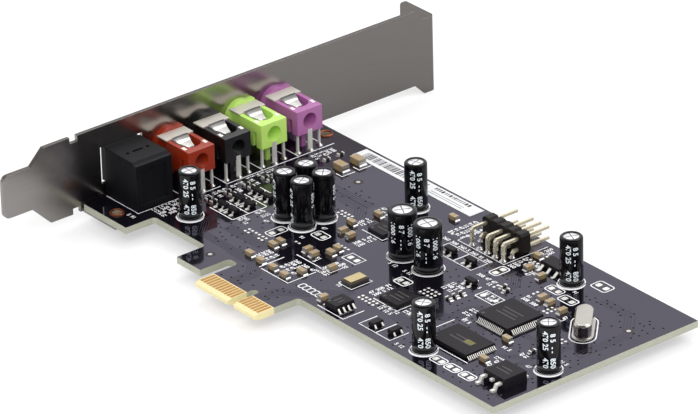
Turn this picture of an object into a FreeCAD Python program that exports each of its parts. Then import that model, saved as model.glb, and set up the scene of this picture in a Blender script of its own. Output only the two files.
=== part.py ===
import FreeCAD, Part
import math
import os

# A low-height sound card: a board with an edge tab, a folded slot bracket, ports and the parts soldered on.
# Millimetres. The origin is the middle of the key notch, on the contact edge, on the board's component face.
# X runs away from the bracket, Y from the contact edge to the back edge, and Z up from the component face.

# Board
BOARD_THICKNESS = 1.57
BOARD_LENGTH = 127.5         # bracket end to the far edge
BOARD_BACK_Y = 67.05         # contact edge to the back edge
BOARD_STEP_Y = 11.65         # contact edge to the main lower edge
BOARD_LOW_Y = 3.9            # contact edge to the hook and the low corner
BOARD_INNER_R = 1.0
BOARD_GAP = 0.55             # board edge to the bracket
LOW_CORNER_LENGTH = 15.1
HOOK_WIDTH = 8.1
HOOK_SLOT = 3.2              # open slot between the hook and the edge tab
KEY_NOTCH_WIDTH = 1.9
KEY_NOTCH_Y = 7.15
TAB_BEVEL_LENGTH = 1.1
TAB_BEVEL_DEPTH = 0.4

# Gold contacts on both faces of the edge tab
CONTACT_PITCH = 1.0
CONTACT_WIDTH = 0.7
CONTACT_LENGTH = 3.7
CONTACT_THICKNESS = 0.05
CONTACTS_BEFORE_KEY = 11
CONTACTS_AFTER_KEY = 7
KEY_TO_CONTACT = 1.5         # middle of the key notch to the contact on each side
TAB_MARGIN = 0.7             # last contact's middle to the side of the tab

# Slot bracket, one folded sheet
KEY_TO_BRACKET = 57.15
BRACKET_SHEET = 0.86
BRACKET_LENGTH = 120.02
BRACKET_WIDTH = 18.42
BRACKET_TIP_Y = -16.7
BRACKET_MID_Z = 7.3
TONGUE_WIDTH = 10.19
TONGUE_RISE = 0.6            # tongue's middle above the bracket's middle
TONGUE_LENGTH = 7.5
TONGUE_CORNER_R = 1.6
EDGE_NOTCH_Y = 2.35
EDGE_NOTCH_WIDTH = 2.0
EDGE_NOTCH_DEPTH = 1.4
EAR_LENGTH = 6.0             # jog to the flange
EAR_SHIFT = 2.65             # ear's offset towards the solder side
FLANGE_DEPTH = 11.43
FLANGE_BEND_R = 0.5
FLANGE_CORNER_R = 1.5
SCREW_NOTCH_WIDTH = 4.4
SCREW_NOTCH_DEPTH = 6.4
SCREW_NOTCH_OUT = 5.1        # bracket's outer face to the notch's middle
LUG_WIDTH = 4.6
LUG_BEND_R = 0.8
LOW_LUG_Y = 6.7
HIGH_LUG_Y = 64.3
EYELET_FROM_BRACKET = 8.75
EYELET_R = 1.6
EYELET_WALL = 0.5
EYELET_PROUD = 0.12

# Ports, all on one line
PORT_AXIS_Z = 7.2
PORT_PROUD = 0.9             # jack noses past the bracket's outer face

# Audio jacks
JACK_COLOURS = ("orange", "black", "lime", "purple")
FIRST_JACK_Y = 27.1
JACK_PITCH = 9.95
JACK_LENGTH = 12.65          # bracket to the rear face
JACK_WIDTH = 7.0
JACK_RISE = 2.9              # block above and below the port line
JACK_BORE_R = 1.8
JACK_NOSE_R = 3.1
NOSE_CLEARANCE = 0.2
JACK_COLLAR_WIDTH = 8.2
JACK_COLLAR_DEPTH = 1.55
JACK_KEY_WIDTH = 3.5         # square corner of the collar, from the port line
JACK_KEY_RISE = 3.6
JACK_SLOT_INSET = 1.9        # rear face to the moulding's side slots
JACK_SLOT_LENGTH = 1.1
JACK_SLOT_DEPTH = 0.8
JACK_SLOT_RISE = 0.5         # top of the side slots above the port line
JACK_CORE_LENGTH = 3.4
JACK_CORE_WIDTH = 6.4
JACK_CORE_DROP = 4.7
TROUGH_WIDTH = 5.0
TROUGH_LENGTH = 5.8
TROUGH_FLOOR = 1.0           # trough's floor above the port line
SPRING_SHEET = 0.3
SPRING_WIDTH = 7.4
SPRING_NECK = 4.4
SPRING_TIP = 1.4
SPRING_REACH = 4.2
SPRING_CLEARANCE = 0.1       # spring's tip above the bore
SPRING_DIP = 1.4             # length of the tongue's steep part
SPRING_LIFT = 0.2            # end of the steep part above the tip
SPRING_LEG_WIDTH = 0.9
JACK_STRIP_WIDTH = 1.2
JACK_PIN = 0.5
JACK_PIN_SEAT = 0.9          # stops short of the bore
JACK_PIN_INSET = 0.5
JACK_FOOT = 1.2
JACK_FOOT_INSET = 3.0

# Square fibre socket
OPTICAL_Y = 15.0
OPTICAL_WIDTH = 9.6
OPTICAL_HEIGHT = 11.4
OPTICAL_LENGTH = 11.4
OPTICAL_GAP = 0.15           # body to the bracket
OPTICAL_NOSE_WIDTH = 9.2
OPTICAL_NOSE_HEIGHT = 8.2
OPTICAL_PROUD = 0.4
OPTICAL_PORT_WIDTH = 7.8
OPTICAL_PORT_HEIGHT = 6.9
OPTICAL_PORT_DEPTH = 9.2
OPTICAL_PORT_CHAMFER = 1.6
OPTICAL_STEP_LENGTH = 1.5
OPTICAL_STEP_DROP = 0.6
OPTICAL_SLOT = 0.7
OPTICAL_LONG_SLOT = 2.6
OPTICAL_SLOT_DEPTH = 0.5
OPTICAL_PANEL_MARGIN = 1.3
OPTICAL_PANEL_DEPTH = 0.3
OPTICAL_PEG = 1.4
OPTICAL_PEG_SPAN = 7.0
CUTOUT_WIDTH = 11.4
CUTOUT_HEIGHT = 8.8
EMITTER_WIDTH = 4.4
EMITTER_HEIGHT = 4.8
EMITTER_DEPTH = 2.0
EMITTER_LENS_R = 1.1
EMITTER_LENS_REACH = 1.0
EMITTER_LEAD = 0.5
EMITTER_LEADS = 3
EMITTER_LEAD_PITCH = 1.27

# Places on the board. Its length is ruled into ten, so that the parts spread out with it, and each place
# gives the number of its line, X from that line and Y from the contact edge.
RULED_PARTS = 10

# Electrolytic capacitors, sealed cans in a shrunk-on film, set down to stand on the board
CAPACITOR_HEIGHT = 11.0
SMALL_CAPACITOR_D = 5.0
LARGE_CAPACITOR_D = 6.3
SMALL_LEAD_PITCH = 2.0
LARGE_LEAD_PITCH = 2.5
CAPACITOR_LEAD_R = 0.25
CLUSTER_PLACE = (3, -1.75, 35.9)
CLUSTER_GAP = 0.9
LARGE_PAIR_PLACE = (5, 4.75, 40.3)
LARGE_PAIR_GAP = 2.0
SMALL_CAPACITOR_PLACES = (
    (1, 6.95, 17.9),
    (4, -2.1, 56.7),
    (8, -2.6, 17.0),
    (10, -4.7, 30.5),
    (7, 8.05, 58.8),
)

# Right-angle pin header
HEADER_PITCH = 2.54
HEADER_COLUMNS = 5
HEADER_ROWS = 2
HEADER_PLACE = (6, -1.15, 54.35)      # middle of the outer row of holes
HEADER_SET_BACK = 1.46       # inner row of holes to the block
HEADER_PIN = 0.64
HEADER_PIN_REACH = 6.1       # pins past the block
HEADER_KEY_NUMBER = 3        # the pin left out, counted up each column in turn from 0

# Crystal in a low oval can
CRYSTAL_PLACE = (9, 0.05, 46.85)
CRYSTAL_TURN = -45.0
CRYSTAL_LENGTH = 10.2
CRYSTAL_WIDTH = 3.8
CRYSTAL_HEIGHT = 3.5
CRYSTAL_FLANGE = 0.4
CRYSTAL_FLANGE_HEIGHT = 0.5
CRYSTAL_EDGE = 0.4
CRYSTAL_LEAD_PITCH = 4.88
CRYSTAL_LEAD_R = 0.22

# Chips with gull-wing leads
CHIP_STANDOFF = 0.1
LEAD_SHEET = 0.15
AUDIO_PLACE = (8, -0.6, 38.35)
AUDIO_SIDE = 10.0
AUDIO_HEIGHT = 1.5
AUDIO_SPAN = 12.0
AUDIO_LEADS = 16
FINE_PITCH = 0.5
FINE_LEAD = 0.22
MEMORY_PLACE = (8, 0.9, 24.2)
MEMORY_LENGTH = 11.8
MEMORY_WIDTH = 8.0
MEMORY_HEIGHT = 1.1
MEMORY_SPAN = 13.4
MEMORY_LEADS = 15
AMPLIFIER_PLACE = (6, -2.9, 15.6)
AMPLIFIER_LENGTH = 3.9
AMPLIFIER_WIDTH = 4.9
AMPLIFIER_HEIGHT = 1.55
AMPLIFIER_SPAN = 6.0
AMPLIFIER_LEADS = 4
AMPLIFIER_PITCH = 1.27
AMPLIFIER_LEAD = 0.42
TRANSISTOR_PLACES = ((7, -4.35, 16.1), (7, 0.75, 17.0))
TRANSISTOR_LENGTH = 1.6
TRANSISTOR_WIDTH = 2.9
TRANSISTOR_HEIGHT = 1.1
TRANSISTOR_SPAN = 2.8
TRANSISTOR_RIGHT_LEADS = 2
TRANSISTOR_LEFT_LEADS = 1
TRANSISTOR_PITCH = 1.9
TRANSISTOR_LEAD = 0.4
SMALL_REGULATOR_PLACE = (7, 1.75, 60.1)
SMALL_REGULATOR_LENGTH = 6.5
SMALL_REGULATOR_WIDTH = 3.5
SMALL_REGULATOR_HEIGHT = 1.6
SMALL_REGULATOR_SPAN = 7.0
SMALL_REGULATOR_LEADS = 3
SMALL_REGULATOR_PITCH = 2.3
SMALL_REGULATOR_LEAD = 0.7
SMALL_REGULATOR_TAB = 3.0
CHIP_DRAFT = 0.12            # sides of a moulded chip lean in by this much

# Flat chips without leads
BRIDGE_PLACE = (6, 2.9, 26.9)
BRIDGE_SIDE = 6.0
CONVERTER_PLACE = (4, 2.2, 44.3)
CONVERTER_SIDE = 5.0
FLAT_CHIP_HEIGHT = 0.85

# Oscillator
OSCILLATOR_PLACE = (5, 3.35, 25.0)
OSCILLATOR_WIDTH = 3.2
OSCILLATOR_LENGTH = 5.0
OSCILLATOR_BASE = 0.8
OSCILLATOR_RIM = 0.35
OSCILLATOR_LID = 0.3

# Power regulator with a heat tab
REGULATOR_PLACE = (9, 5.65, 20.9)
REGULATOR_WIDTH = 6.6
REGULATOR_DEPTH = 6.1
REGULATOR_HEIGHT = 2.3
REGULATOR_TAB_WIDTH = 5.3
REGULATOR_TAB_REACH = 1.0
REGULATOR_SHEET = 0.5
REGULATOR_LEAD = 0.8
REGULATOR_LEAD_PITCH = 4.58
REGULATOR_LEAD_REACH = 2.7
REGULATOR_LEAD_RISE = 1.0
REGULATOR_STUB = 0.8

# Two-ended ceramic chips: length, width, height
SMALL_CHIP = (1.6, 0.8, 0.5)
MEDIUM_CHIP = (2.0, 1.25, 1.0)
LARGE_CHIP = (3.2, 2.0, 1.5)
# Each place ends with whether the chip lies along X or Y.
MEDIUM_CHIP_PLACES = (
    (3, 4.55, 16.0, "x"),
    (4, -4.1, 15.7, "x"),
    (4, 0.1, 15.7, "x"),
    (4, 4.4, 15.4, "x"),
    (4, 5.6, 19.1, "x"),
    (3, 4.65, 22.2, "x"),
    (3, 4.55, 24.3, "x"),
    (4, -1.5, 26.3, "y"),
    (4, 1.0, 26.0, "y"),
    (4, 2.9, 29.1, "x"),
    (4, 2.4, 31.4, "x"),
    (5, -4.35, 25.0, "y"),
    (6, -7.8, 15.1, "y"),
    (4, -5.0, 41.2, "x"),
    (4, -3.4, 37.4, "y"),
    (4, -0.6, 37.2, "y"),
    (4, -4.1, 47.9, "x"),
    (5, -5.05, 59.0, "x"),
    (7, -5.05, 60.8, "x"),
    (7, -2.35, 55.9, "y"),
    (7, 2.45, 55.2, "y"),
    (8, -3.0, 49.2, "y"),
    (8, -0.3, 49.0, "y"),
    (8, 4.2, 48.4, "y"),
    (8, 6.0, 32.0, "x"),
    (8, 9.4, 22.9, "x"),
)
LARGE_CHIP_PLACES = ((2, -1.6, 56.0, "x"), (2, -1.4, 60.6, "x"))
RESISTOR_PLACES = (
    (1, 3.45, 41.0, "y"),
    (1, 5.25, 41.0, "y"),
    (1, 3.45, 35.8, "y"),
    (1, 5.25, 35.8, "y"),
    (1, 3.45, 30.6, "y"),
    (1, 5.25, 30.6, "y"),
    (1, 3.45, 25.4, "y"),
    (1, 5.25, 25.4, "y"),
    (1, 5.65, 60.3, "y"),
    (1, 5.65, 56.4, "y"),
    (7, -3.05, 34.6, "x"),
    (7, -3.05, 36.4, "x"),
    (7, -3.05, 38.2, "x"),
    (7, 0.35, 46.6, "y"),
    (7, 2.15, 45.8, "y"),
    (9, 0.45, 32.6, "y"),
)

# Paper label along the back edge
LABEL_LEFT_X = -36.5
LABEL_LENGTH = 40.0
LABEL_WIDTH = 4.05
LABEL_MARGIN = 0.75
LABEL_THICKNESS = 0.1

# Shared by everything that passes through the board
HOLE_CLEARANCE = 0.12
WIRE_SIDES = 4               # round wires and their holes are drawn with this many flats
SMALL_ROUND_SIDES = 12       # and small rounds seen end-on with this many
LEAD_TAIL = 1.2              # leads past the solder side
CUT_PAST = 1.0               # cutters run this far past a face
TOUCH = 1e-4                 # edges nearer than this are on the same line

# Worked out from the sizes above
bracket_in_x = -KEY_TO_BRACKET
bracket_out_x = bracket_in_x - BRACKET_SHEET
bracket_low_z = BRACKET_MID_Z - BRACKET_WIDTH / 2
bracket_high_z = BRACKET_MID_Z + BRACKET_WIDTH / 2
flange_y = BRACKET_TIP_Y + BRACKET_LENGTH
flange_bend_y = flange_y - BRACKET_SHEET - FLANGE_BEND_R
ear_low_z = bracket_low_z - EAR_SHIFT
ear_high_z = bracket_high_z - EAR_SHIFT
board_left_x = bracket_in_x + BOARD_GAP
board_right_x = board_left_x + BOARD_LENGTH
eyelet_x = bracket_in_x + EYELET_FROM_BRACKET
tab_left_x = -KEY_TO_CONTACT - CONTACT_PITCH * (CONTACTS_BEFORE_KEY - 1) - TAB_MARGIN
tab_right_x = KEY_TO_CONTACT + CONTACT_PITCH * (CONTACTS_AFTER_KEY - 1) + TAB_MARGIN
hook_right_x = tab_left_x - HOOK_SLOT
hook_left_x = hook_right_x - HOOK_WIDTH
low_corner_x = board_left_x + LOW_CORNER_LENGTH
solder_z = -BOARD_THICKNESS
tail_z = solder_z - LEAD_TAIL
jack_back_x = bracket_in_x + JACK_LENGTH
jack_cheek_x = bracket_in_x + JACK_COLLAR_DEPTH + JACK_CORE_LENGTH
jack_low_z = PORT_AXIS_Z - JACK_RISE
jack_high_z = PORT_AXIS_Z + JACK_RISE
jack_ys = [FIRST_JACK_Y + JACK_PITCH * n for n in range(len(JACK_COLOURS))]
optical_front_x = bracket_in_x + OPTICAL_GAP
optical_back_x = optical_front_x + OPTICAL_LENGTH
emitter_front_x = optical_front_x - OPTICAL_PROUD - BRACKET_SHEET - OPTICAL_GAP + OPTICAL_PORT_DEPTH

vector = FreeCAD.Vector


def on_board(line, x, y):
    """A place's X and Y, from its ruled line."""
    return board_left_x + BOARD_LENGTH * line / RULED_PARTS + x, y


def chips_on_board(places):
    return [on_board(line, x, y) + (along,) for line, x, y, along in places]


small_capacitor_spots = [on_board(*place) for place in SMALL_CAPACITOR_PLACES]
cluster_spot = on_board(*CLUSTER_PLACE)
large_pair_spot = on_board(*LARGE_PAIR_PLACE)
header_x, header_row_y = on_board(*HEADER_PLACE)
crystal_spot = on_board(*CRYSTAL_PLACE)
audio_spot = on_board(*AUDIO_PLACE)
memory_spot = on_board(*MEMORY_PLACE)
amplifier_spot = on_board(*AMPLIFIER_PLACE)
transistor_spots = [on_board(*place) for place in TRANSISTOR_PLACES]
small_regulator_spot = on_board(*SMALL_REGULATOR_PLACE)
bridge_spot = on_board(*BRIDGE_PLACE)
converter_spot = on_board(*CONVERTER_PLACE)
oscillator_spot = on_board(*OSCILLATOR_PLACE)
regulator_spot = on_board(*REGULATOR_PLACE)
medium_chip_spots = chips_on_board(MEDIUM_CHIP_PLACES)
large_chip_spots = chips_on_board(LARGE_CHIP_PLACES)
resistor_spots = chips_on_board(RESISTOR_PLACES)


def box(x0, x1, y0, y1, z0, z1):
    return Part.makeBox(x1 - x0, y1 - y0, z1 - z0, vector(x0, y0, z0))


def upright(x, y, z0, z1, radius):
    return Part.makeCylinder(radius, z1 - z0, vector(x, y, z0))


def along_x(x0, x1, y, z, radius):
    return Part.makeCylinder(radius, x1 - x0, vector(x0, y, z), vector(1, 0, 0))


def flats(radius, sides):
    """Corners of a circle drawn with flats."""
    turns = [2 * math.pi * n / sides for n in range(sides)]
    return [(radius * math.cos(turn), radius * math.sin(turn)) for turn in turns]


def wire(x, y, z0, z1, radius, sides=WIRE_SIDES):
    """An upright wire drawn with flats."""
    corners = [(x + u, y + v, z0) for u, v in flats(radius, sides)]
    return prism(corners, vector(0, 0, z1 - z0))


def prism(points, path):
    corners = [vector(*point) for point in points]
    return Part.Face(Part.makePolygon(corners + corners[:1])).extrude(path)


def join(solids):
    return solids[0].fuse(solids[1:]).removeSplitter()


def rounded(shape, radius, direction, spots):
    """Round the straight edges that run in one direction through the given spots."""
    chosen = []
    for edge in shape.Edges:
        if isinstance(edge.Curve, Part.Line) and edge.Curve.Direction.cross(direction).Length < TOUCH:
            start = edge.Vertexes[0].Point
            if any((vector(*spot) - start).cross(direction).Length < TOUCH for spot in spots):
                chosen.append(edge)
    return shape.makeFillet(radius, chosen)


def save(name, solids):
    shape = solids[0] if len(solids) == 1 else Part.makeCompound(solids)
    shape.exportStep("parts/%s.step" % name)


def capacitor_spots():
    """Each capacitor's X, Y, diameter and lead pitch."""
    spots = [(x, y, SMALL_CAPACITOR_D, SMALL_LEAD_PITCH) for x, y in small_capacitor_spots]
    reach = (SMALL_CAPACITOR_D + CLUSTER_GAP) / 2
    for side_x in (-reach, reach):
        for side_y in (-reach, reach):
            spot = (cluster_spot[0] + side_x, cluster_spot[1] + side_y)
            spots.append(spot + (SMALL_CAPACITOR_D, SMALL_LEAD_PITCH))
    reach = (LARGE_CAPACITOR_D + LARGE_PAIR_GAP) / 2
    for side_x in (-reach, reach):
        spot = (large_pair_spot[0] + side_x, large_pair_spot[1])
        spots.append(spot + (LARGE_CAPACITOR_D, LARGE_LEAD_PITCH))
    return spots


def header_pins():
    """Each header pin's column X, hole Y and height above the board."""
    first_x = header_x - HEADER_PITCH * (HEADER_COLUMNS - 1) / 2
    pins = []
    for column in range(HEADER_COLUMNS):
        for row in range(HEADER_ROWS):
            if column * HEADER_ROWS + row != HEADER_KEY_NUMBER:
                hole_y = header_row_y + HEADER_PITCH * (HEADER_ROWS - 1 - row)
                pins.append((first_x + HEADER_PITCH * column, hole_y, HEADER_PITCH * (row + 0.5)))
    return pins


def crystal_lead_spots():
    turn = math.radians(CRYSTAL_TURN)
    reach = CRYSTAL_LEAD_PITCH / 2
    return [
        (crystal_spot[0] + side * reach * math.cos(turn), crystal_spot[1] + side * reach * math.sin(turn))
        for side in (-1, 1)
    ]


def emitter_lead_spots():
    lead_x = emitter_front_x + EMITTER_DEPTH / 2
    first_y = OPTICAL_Y - EMITTER_LEAD_PITCH * (EMITTER_LEADS - 1) / 2
    return [(lead_x, first_y + EMITTER_LEAD_PITCH * n) for n in range(EMITTER_LEADS)]


def optical_peg_spots():
    peg_x = optical_front_x + OPTICAL_LENGTH / 4
    return [(peg_x, OPTICAL_Y + side * OPTICAL_PEG_SPAN / 2) for side in (-1, 1)]


def jack_pin_spots(y):
    """The middles of a jack's centre strip, its two side pins and its spring's leg."""
    strip_x = jack_back_x - SPRING_SHEET / 2
    pin_x = jack_back_x - JACK_PIN_INSET - JACK_PIN / 2
    pin_reach = JACK_WIDTH / 2 - JACK_PIN_INSET
    leg_x = jack_cheek_x - JACK_CORE_LENGTH / 2
    leg_y = y + SPRING_WIDTH / 2 - SPRING_SHEET / 2
    return (strip_x, y), [(pin_x, y - pin_reach), (pin_x, y + pin_reach)], (leg_x, leg_y)


def board_holes():
    """Cutters for every hole: round for the eyelets, and shaped like the wire or flat pin elsewhere."""
    z0 = solder_z - CUT_PAST
    z1 = CUT_PAST
    cutters = [upright(eyelet_x, y, z0, z1, EYELET_R) for y in (LOW_LUG_Y, HIGH_LUG_Y)]
    for x, y, diameter, pitch in capacitor_spots():
        for side in (-1, 1):
            cutters.append(wire(x + side * pitch / 2, y, z0, z1, CAPACITOR_LEAD_R + HOLE_CLEARANCE))
    cutters += [wire(x, y, z0, z1, CRYSTAL_LEAD_R + HOLE_CLEARANCE) for x, y in crystal_lead_spots()]
    slots = [(x, y, HEADER_PIN, HEADER_PIN) for x, y, z in header_pins()]
    slots += [(x, y, EMITTER_LEAD, EMITTER_LEAD) for x, y in emitter_lead_spots()]
    slots += [(x, y, OPTICAL_PEG, OPTICAL_PEG) for x, y in optical_peg_spots()]
    for jack_y in jack_ys:
        strip, pins, leg = jack_pin_spots(jack_y)
        slots.append(strip + (SPRING_SHEET, JACK_STRIP_WIDTH))
        slots += [pin + (JACK_PIN, JACK_PIN) for pin in pins]
        slots.append(leg + (SPRING_LEG_WIDTH, SPRING_SHEET))
    for x, y, size_x, size_y in slots:
        grown_x = size_x + 2 * HOLE_CLEARANCE
        grown_y = size_y + 2 * HOLE_CLEARANCE
        cutters.append(make_block_on_board((x, y), grown_x, grown_y, z0, z1))
    return cutters


def make_board():
    z0 = solder_z
    board = join([
        box(board_left_x, board_right_x, BOARD_STEP_Y, BOARD_BACK_Y, z0, 0),
        box(board_left_x, low_corner_x, BOARD_LOW_Y, BOARD_STEP_Y, z0, 0),
        box(hook_left_x, hook_right_x, BOARD_LOW_Y, BOARD_STEP_Y, z0, 0),
        box(tab_left_x, tab_right_x, 0, BOARD_STEP_Y, z0, 0),
    ])
    up = vector(0, 0, 1)
    inner = [(low_corner_x, BOARD_STEP_Y, 0), (hook_left_x, BOARD_STEP_Y, 0), (tab_right_x, BOARD_STEP_Y, 0)]
    inner += [(hook_right_x, BOARD_STEP_Y, 0), (tab_left_x, BOARD_STEP_Y, 0)]
    board = rounded(board, BOARD_INNER_R, up, inner)
    key_r = KEY_NOTCH_WIDTH / 2
    cutters = [
        box(-key_r, key_r, -CUT_PAST, KEY_NOTCH_Y - key_r, z0 - CUT_PAST, CUT_PAST),
        upright(0, KEY_NOTCH_Y - key_r, z0 - CUT_PAST, CUT_PAST, key_r),
    ]
    across = vector(tab_right_x - tab_left_x, 0, 0)
    for face_z, depth in ((0, -TAB_BEVEL_DEPTH), (z0, TAB_BEVEL_DEPTH)):
        corners = [(0, face_z), (TAB_BEVEL_LENGTH, face_z), (0, face_z + depth)]
        cutters.append(prism([(tab_left_x, y, z) for y, z in corners], across))
    return board.cut(cutters + board_holes())


def make_edge_contacts():
    before = [-KEY_TO_CONTACT - CONTACT_PITCH * n for n in range(CONTACTS_BEFORE_KEY)]
    after = [KEY_TO_CONTACT + CONTACT_PITCH * n for n in range(CONTACTS_AFTER_KEY)]
    half = CONTACT_WIDTH / 2
    y0 = TAB_BEVEL_LENGTH
    y1 = y0 + CONTACT_LENGTH
    pads = []
    for x in before + after:
        pads.append(box(x - half, x + half, y0, y1, 0, CONTACT_THICKNESS))
        pads.append(box(x - half, x + half, y0, y1, solder_z - CONTACT_THICKNESS, solder_z))
    return pads


def make_bracket_plate():
    """The flat run: plate, tongue and ear, up to the flange's bend."""
    tongue_low = BRACKET_MID_Z + TONGUE_RISE - TONGUE_WIDTH / 2
    tongue_high = tongue_low + TONGUE_WIDTH
    shoulder_y = BRACKET_TIP_Y + TONGUE_LENGTH
    jog_y = flange_y - EAR_LENGTH
    outline = [
        (BRACKET_TIP_Y, tongue_low),
        (shoulder_y, tongue_low),
        (shoulder_y + tongue_low - bracket_low_z, bracket_low_z),
        (jog_y, bracket_low_z),
        (jog_y + EAR_SHIFT, ear_low_z),
        (flange_bend_y, ear_low_z),
        (flange_bend_y, ear_high_z),
        (jog_y + EAR_SHIFT, ear_high_z),
        (jog_y, bracket_high_z),
        (shoulder_y + bracket_high_z - tongue_high, bracket_high_z),
        (shoulder_y, tongue_high),
        (BRACKET_TIP_Y, tongue_high),
    ]
    plate = prism([(bracket_out_x, y, z) for y, z in outline], vector(BRACKET_SHEET, 0, 0))
    tips = [(bracket_in_x, BRACKET_TIP_Y, tongue_low), (bracket_in_x, BRACKET_TIP_Y, tongue_high)]
    plate = rounded(plate, TONGUE_CORNER_R, vector(1, 0, 0), tips)
    x0 = bracket_out_x - CUT_PAST
    x1 = bracket_in_x + CUT_PAST
    cutters = []
    half_notch = EDGE_NOTCH_WIDTH / 2
    for edge_z, side in ((bracket_low_z, 1), (bracket_high_z, -1)):
        low_z, high_z = sorted((edge_z + side * EDGE_NOTCH_DEPTH, edge_z - side * CUT_PAST))
        cutters.append(box(x0, x1, EDGE_NOTCH_Y - half_notch, EDGE_NOTCH_Y + half_notch, low_z, high_z))
    for y in jack_ys:
        cutters.append(along_x(x0, x1, y, PORT_AXIS_Z, JACK_NOSE_R + NOSE_CLEARANCE))
    half_y = CUTOUT_WIDTH / 2
    half_z = CUTOUT_HEIGHT / 2
    cutters.append(box(
        x0, x1, OPTICAL_Y - half_y, OPTICAL_Y + half_y, PORT_AXIS_Z - half_z, PORT_AXIS_Z + half_z))
    return plate.cut(cutters)


def make_bracket_flange():
    """The run past the bend, with the open screw notch."""
    bend_x = bracket_out_x - FLANGE_BEND_R
    base = vector(bend_x, flange_bend_y, ear_low_z)
    up = vector(0, 0, 1)
    bend = Part.makeCylinder(FLANGE_BEND_R + BRACKET_SHEET, BRACKET_WIDTH, base, up, 90)
    bend = bend.cut(Part.makeCylinder(FLANGE_BEND_R, BRACKET_WIDTH, base, up))
    flange_end = bracket_in_x - FLANGE_DEPTH
    flange = join([bend, box(flange_end, bend_x, flange_y - BRACKET_SHEET, flange_y, ear_low_z, ear_high_z)])
    corners = [(flange_end, flange_y, ear_low_z), (flange_end, flange_y, ear_high_z)]
    flange = rounded(flange, FLANGE_CORNER_R, vector(0, 1, 0), corners)
    notch_x = bracket_out_x - SCREW_NOTCH_OUT
    notch_r = SCREW_NOTCH_WIDTH / 2
    notch_z = ear_low_z + SCREW_NOTCH_DEPTH - notch_r
    low_y = flange_y - BRACKET_SHEET - CUT_PAST
    high_y = flange_y + CUT_PAST
    notch = box(notch_x - notch_r, notch_x + notch_r, low_y, high_y, ear_low_z - CUT_PAST, notch_z)
    notch_end = Part.makeCylinder(notch_r, high_y - low_y, vector(notch_x, low_y, notch_z), vector(0, 1, 0))
    return flange.cut([notch, notch_end])


def make_lug(y):
    """A lug folded in from the plate's lower edge to lie under the board, with a hole for its eyelet."""
    low_z = solder_z - BRACKET_SHEET
    half = LUG_WIDTH / 2
    curve_x = bracket_out_x + LUG_BEND_R
    curve_z = low_z + LUG_BEND_R
    turn = math.sqrt(0.5) * LUG_BEND_R
    arc = Part.Arc(
        vector(curve_x, y - half, low_z),
        vector(curve_x - turn, y - half, curve_z - turn),
        vector(bracket_out_x, y - half, curve_z),
    )
    corners = [(bracket_out_x, curve_z), (bracket_out_x, 0), (bracket_in_x, 0), (bracket_in_x, solder_z)]
    corners += [(eyelet_x + half, solder_z), (eyelet_x + half, low_z), (curve_x, low_z)]
    points = [vector(x, y - half, z) for x, z in corners]
    edges = [Part.makeLine(points[n], points[n + 1]) for n in range(len(points) - 1)]
    section = Part.Face(Part.Wire(edges + [arc.toShape()]))
    lug = section.extrude(vector(0, LUG_WIDTH, 0))
    plate = box(bracket_out_x, bracket_in_x, y - half, y + half, bracket_low_z, CUT_PAST)
    hole = upright(eyelet_x, y, low_z - CUT_PAST, CUT_PAST, EYELET_R)
    return lug.cut([plate, hole])


def make_eyelet(y):
    """A hollow rivet that holds the board to the lug."""
    low_z = solder_z - BRACKET_SHEET
    hole = wire(eyelet_x, y, low_z - CUT_PAST, CUT_PAST, EYELET_R - EYELET_WALL, SMALL_ROUND_SIDES)
    return upright(eyelet_x, y, low_z, EYELET_PROUD, EYELET_R).cut(hole)


def make_jack_body(y):
    """One moulding: nose, rounded collar, core under the spring, and a rear block with two cheeks."""
    z = PORT_AXIS_Z
    collar_x = bracket_in_x + JACK_COLLAR_DEPTH
    collar = JACK_COLLAR_WIDTH / 2
    core = JACK_CORE_WIDTH / 2
    half = JACK_WIDTH / 2
    nose_x = bracket_out_x - PORT_PROUD
    foot_x = jack_back_x - JACK_FOOT_INSET
    body = join([
        along_x(nose_x, collar_x, y, z, JACK_NOSE_R),
        along_x(bracket_in_x, collar_x, y, z, collar),
        box(bracket_in_x, collar_x, y - collar, y + collar, 0, z),
        box(bracket_in_x, collar_x, y, y + JACK_KEY_WIDTH, z, z + JACK_KEY_RISE),
        box(collar_x, jack_cheek_x, y - core, y + core, z - JACK_CORE_DROP, jack_high_z),
        box(jack_cheek_x, jack_back_x, y - half, y + half, jack_low_z, jack_high_z),
        make_block_on_board((foot_x, y), JACK_FOOT, JACK_FOOT, 0, jack_low_z),
    ])
    trough_r = TROUGH_WIDTH / 2
    trough_x = jack_cheek_x + TROUGH_LENGTH - trough_r
    floor_z = z + TROUGH_FLOOR
    top_z = jack_high_z + CUT_PAST
    strip, pins, leg = jack_pin_spots(y)
    strip_half = JACK_STRIP_WIDTH / 2
    pin_half = JACK_PIN / 2
    cutters = [
        along_x(nose_x - CUT_PAST, jack_back_x + CUT_PAST, y, z, JACK_BORE_R),
        box(jack_cheek_x, trough_x, y - trough_r, y + trough_r, floor_z, top_z),
        upright(trough_x, y, floor_z, top_z, trough_r),
        box(jack_back_x - SPRING_SHEET, jack_back_x, y - strip_half, y + strip_half,
            jack_low_z, jack_low_z + JACK_PIN_SEAT),
    ]
    slot_x = jack_back_x - JACK_SLOT_INSET
    for side in (-1, 1):
        low_y, high_y = sorted((y + side * (half - JACK_SLOT_DEPTH), y + side * (half + CUT_PAST)))
        cutters.append(box(
            slot_x - JACK_SLOT_LENGTH, slot_x, low_y, high_y, jack_low_z - CUT_PAST, z + JACK_SLOT_RISE))
    for pin_x, pin_y in pins:
        cutters.append(box(pin_x - pin_half, pin_x + pin_half, pin_y - pin_half, pin_y + pin_half,
                           jack_low_z, jack_low_z + JACK_PIN_SEAT))
    return body.cut(cutters)


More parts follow.
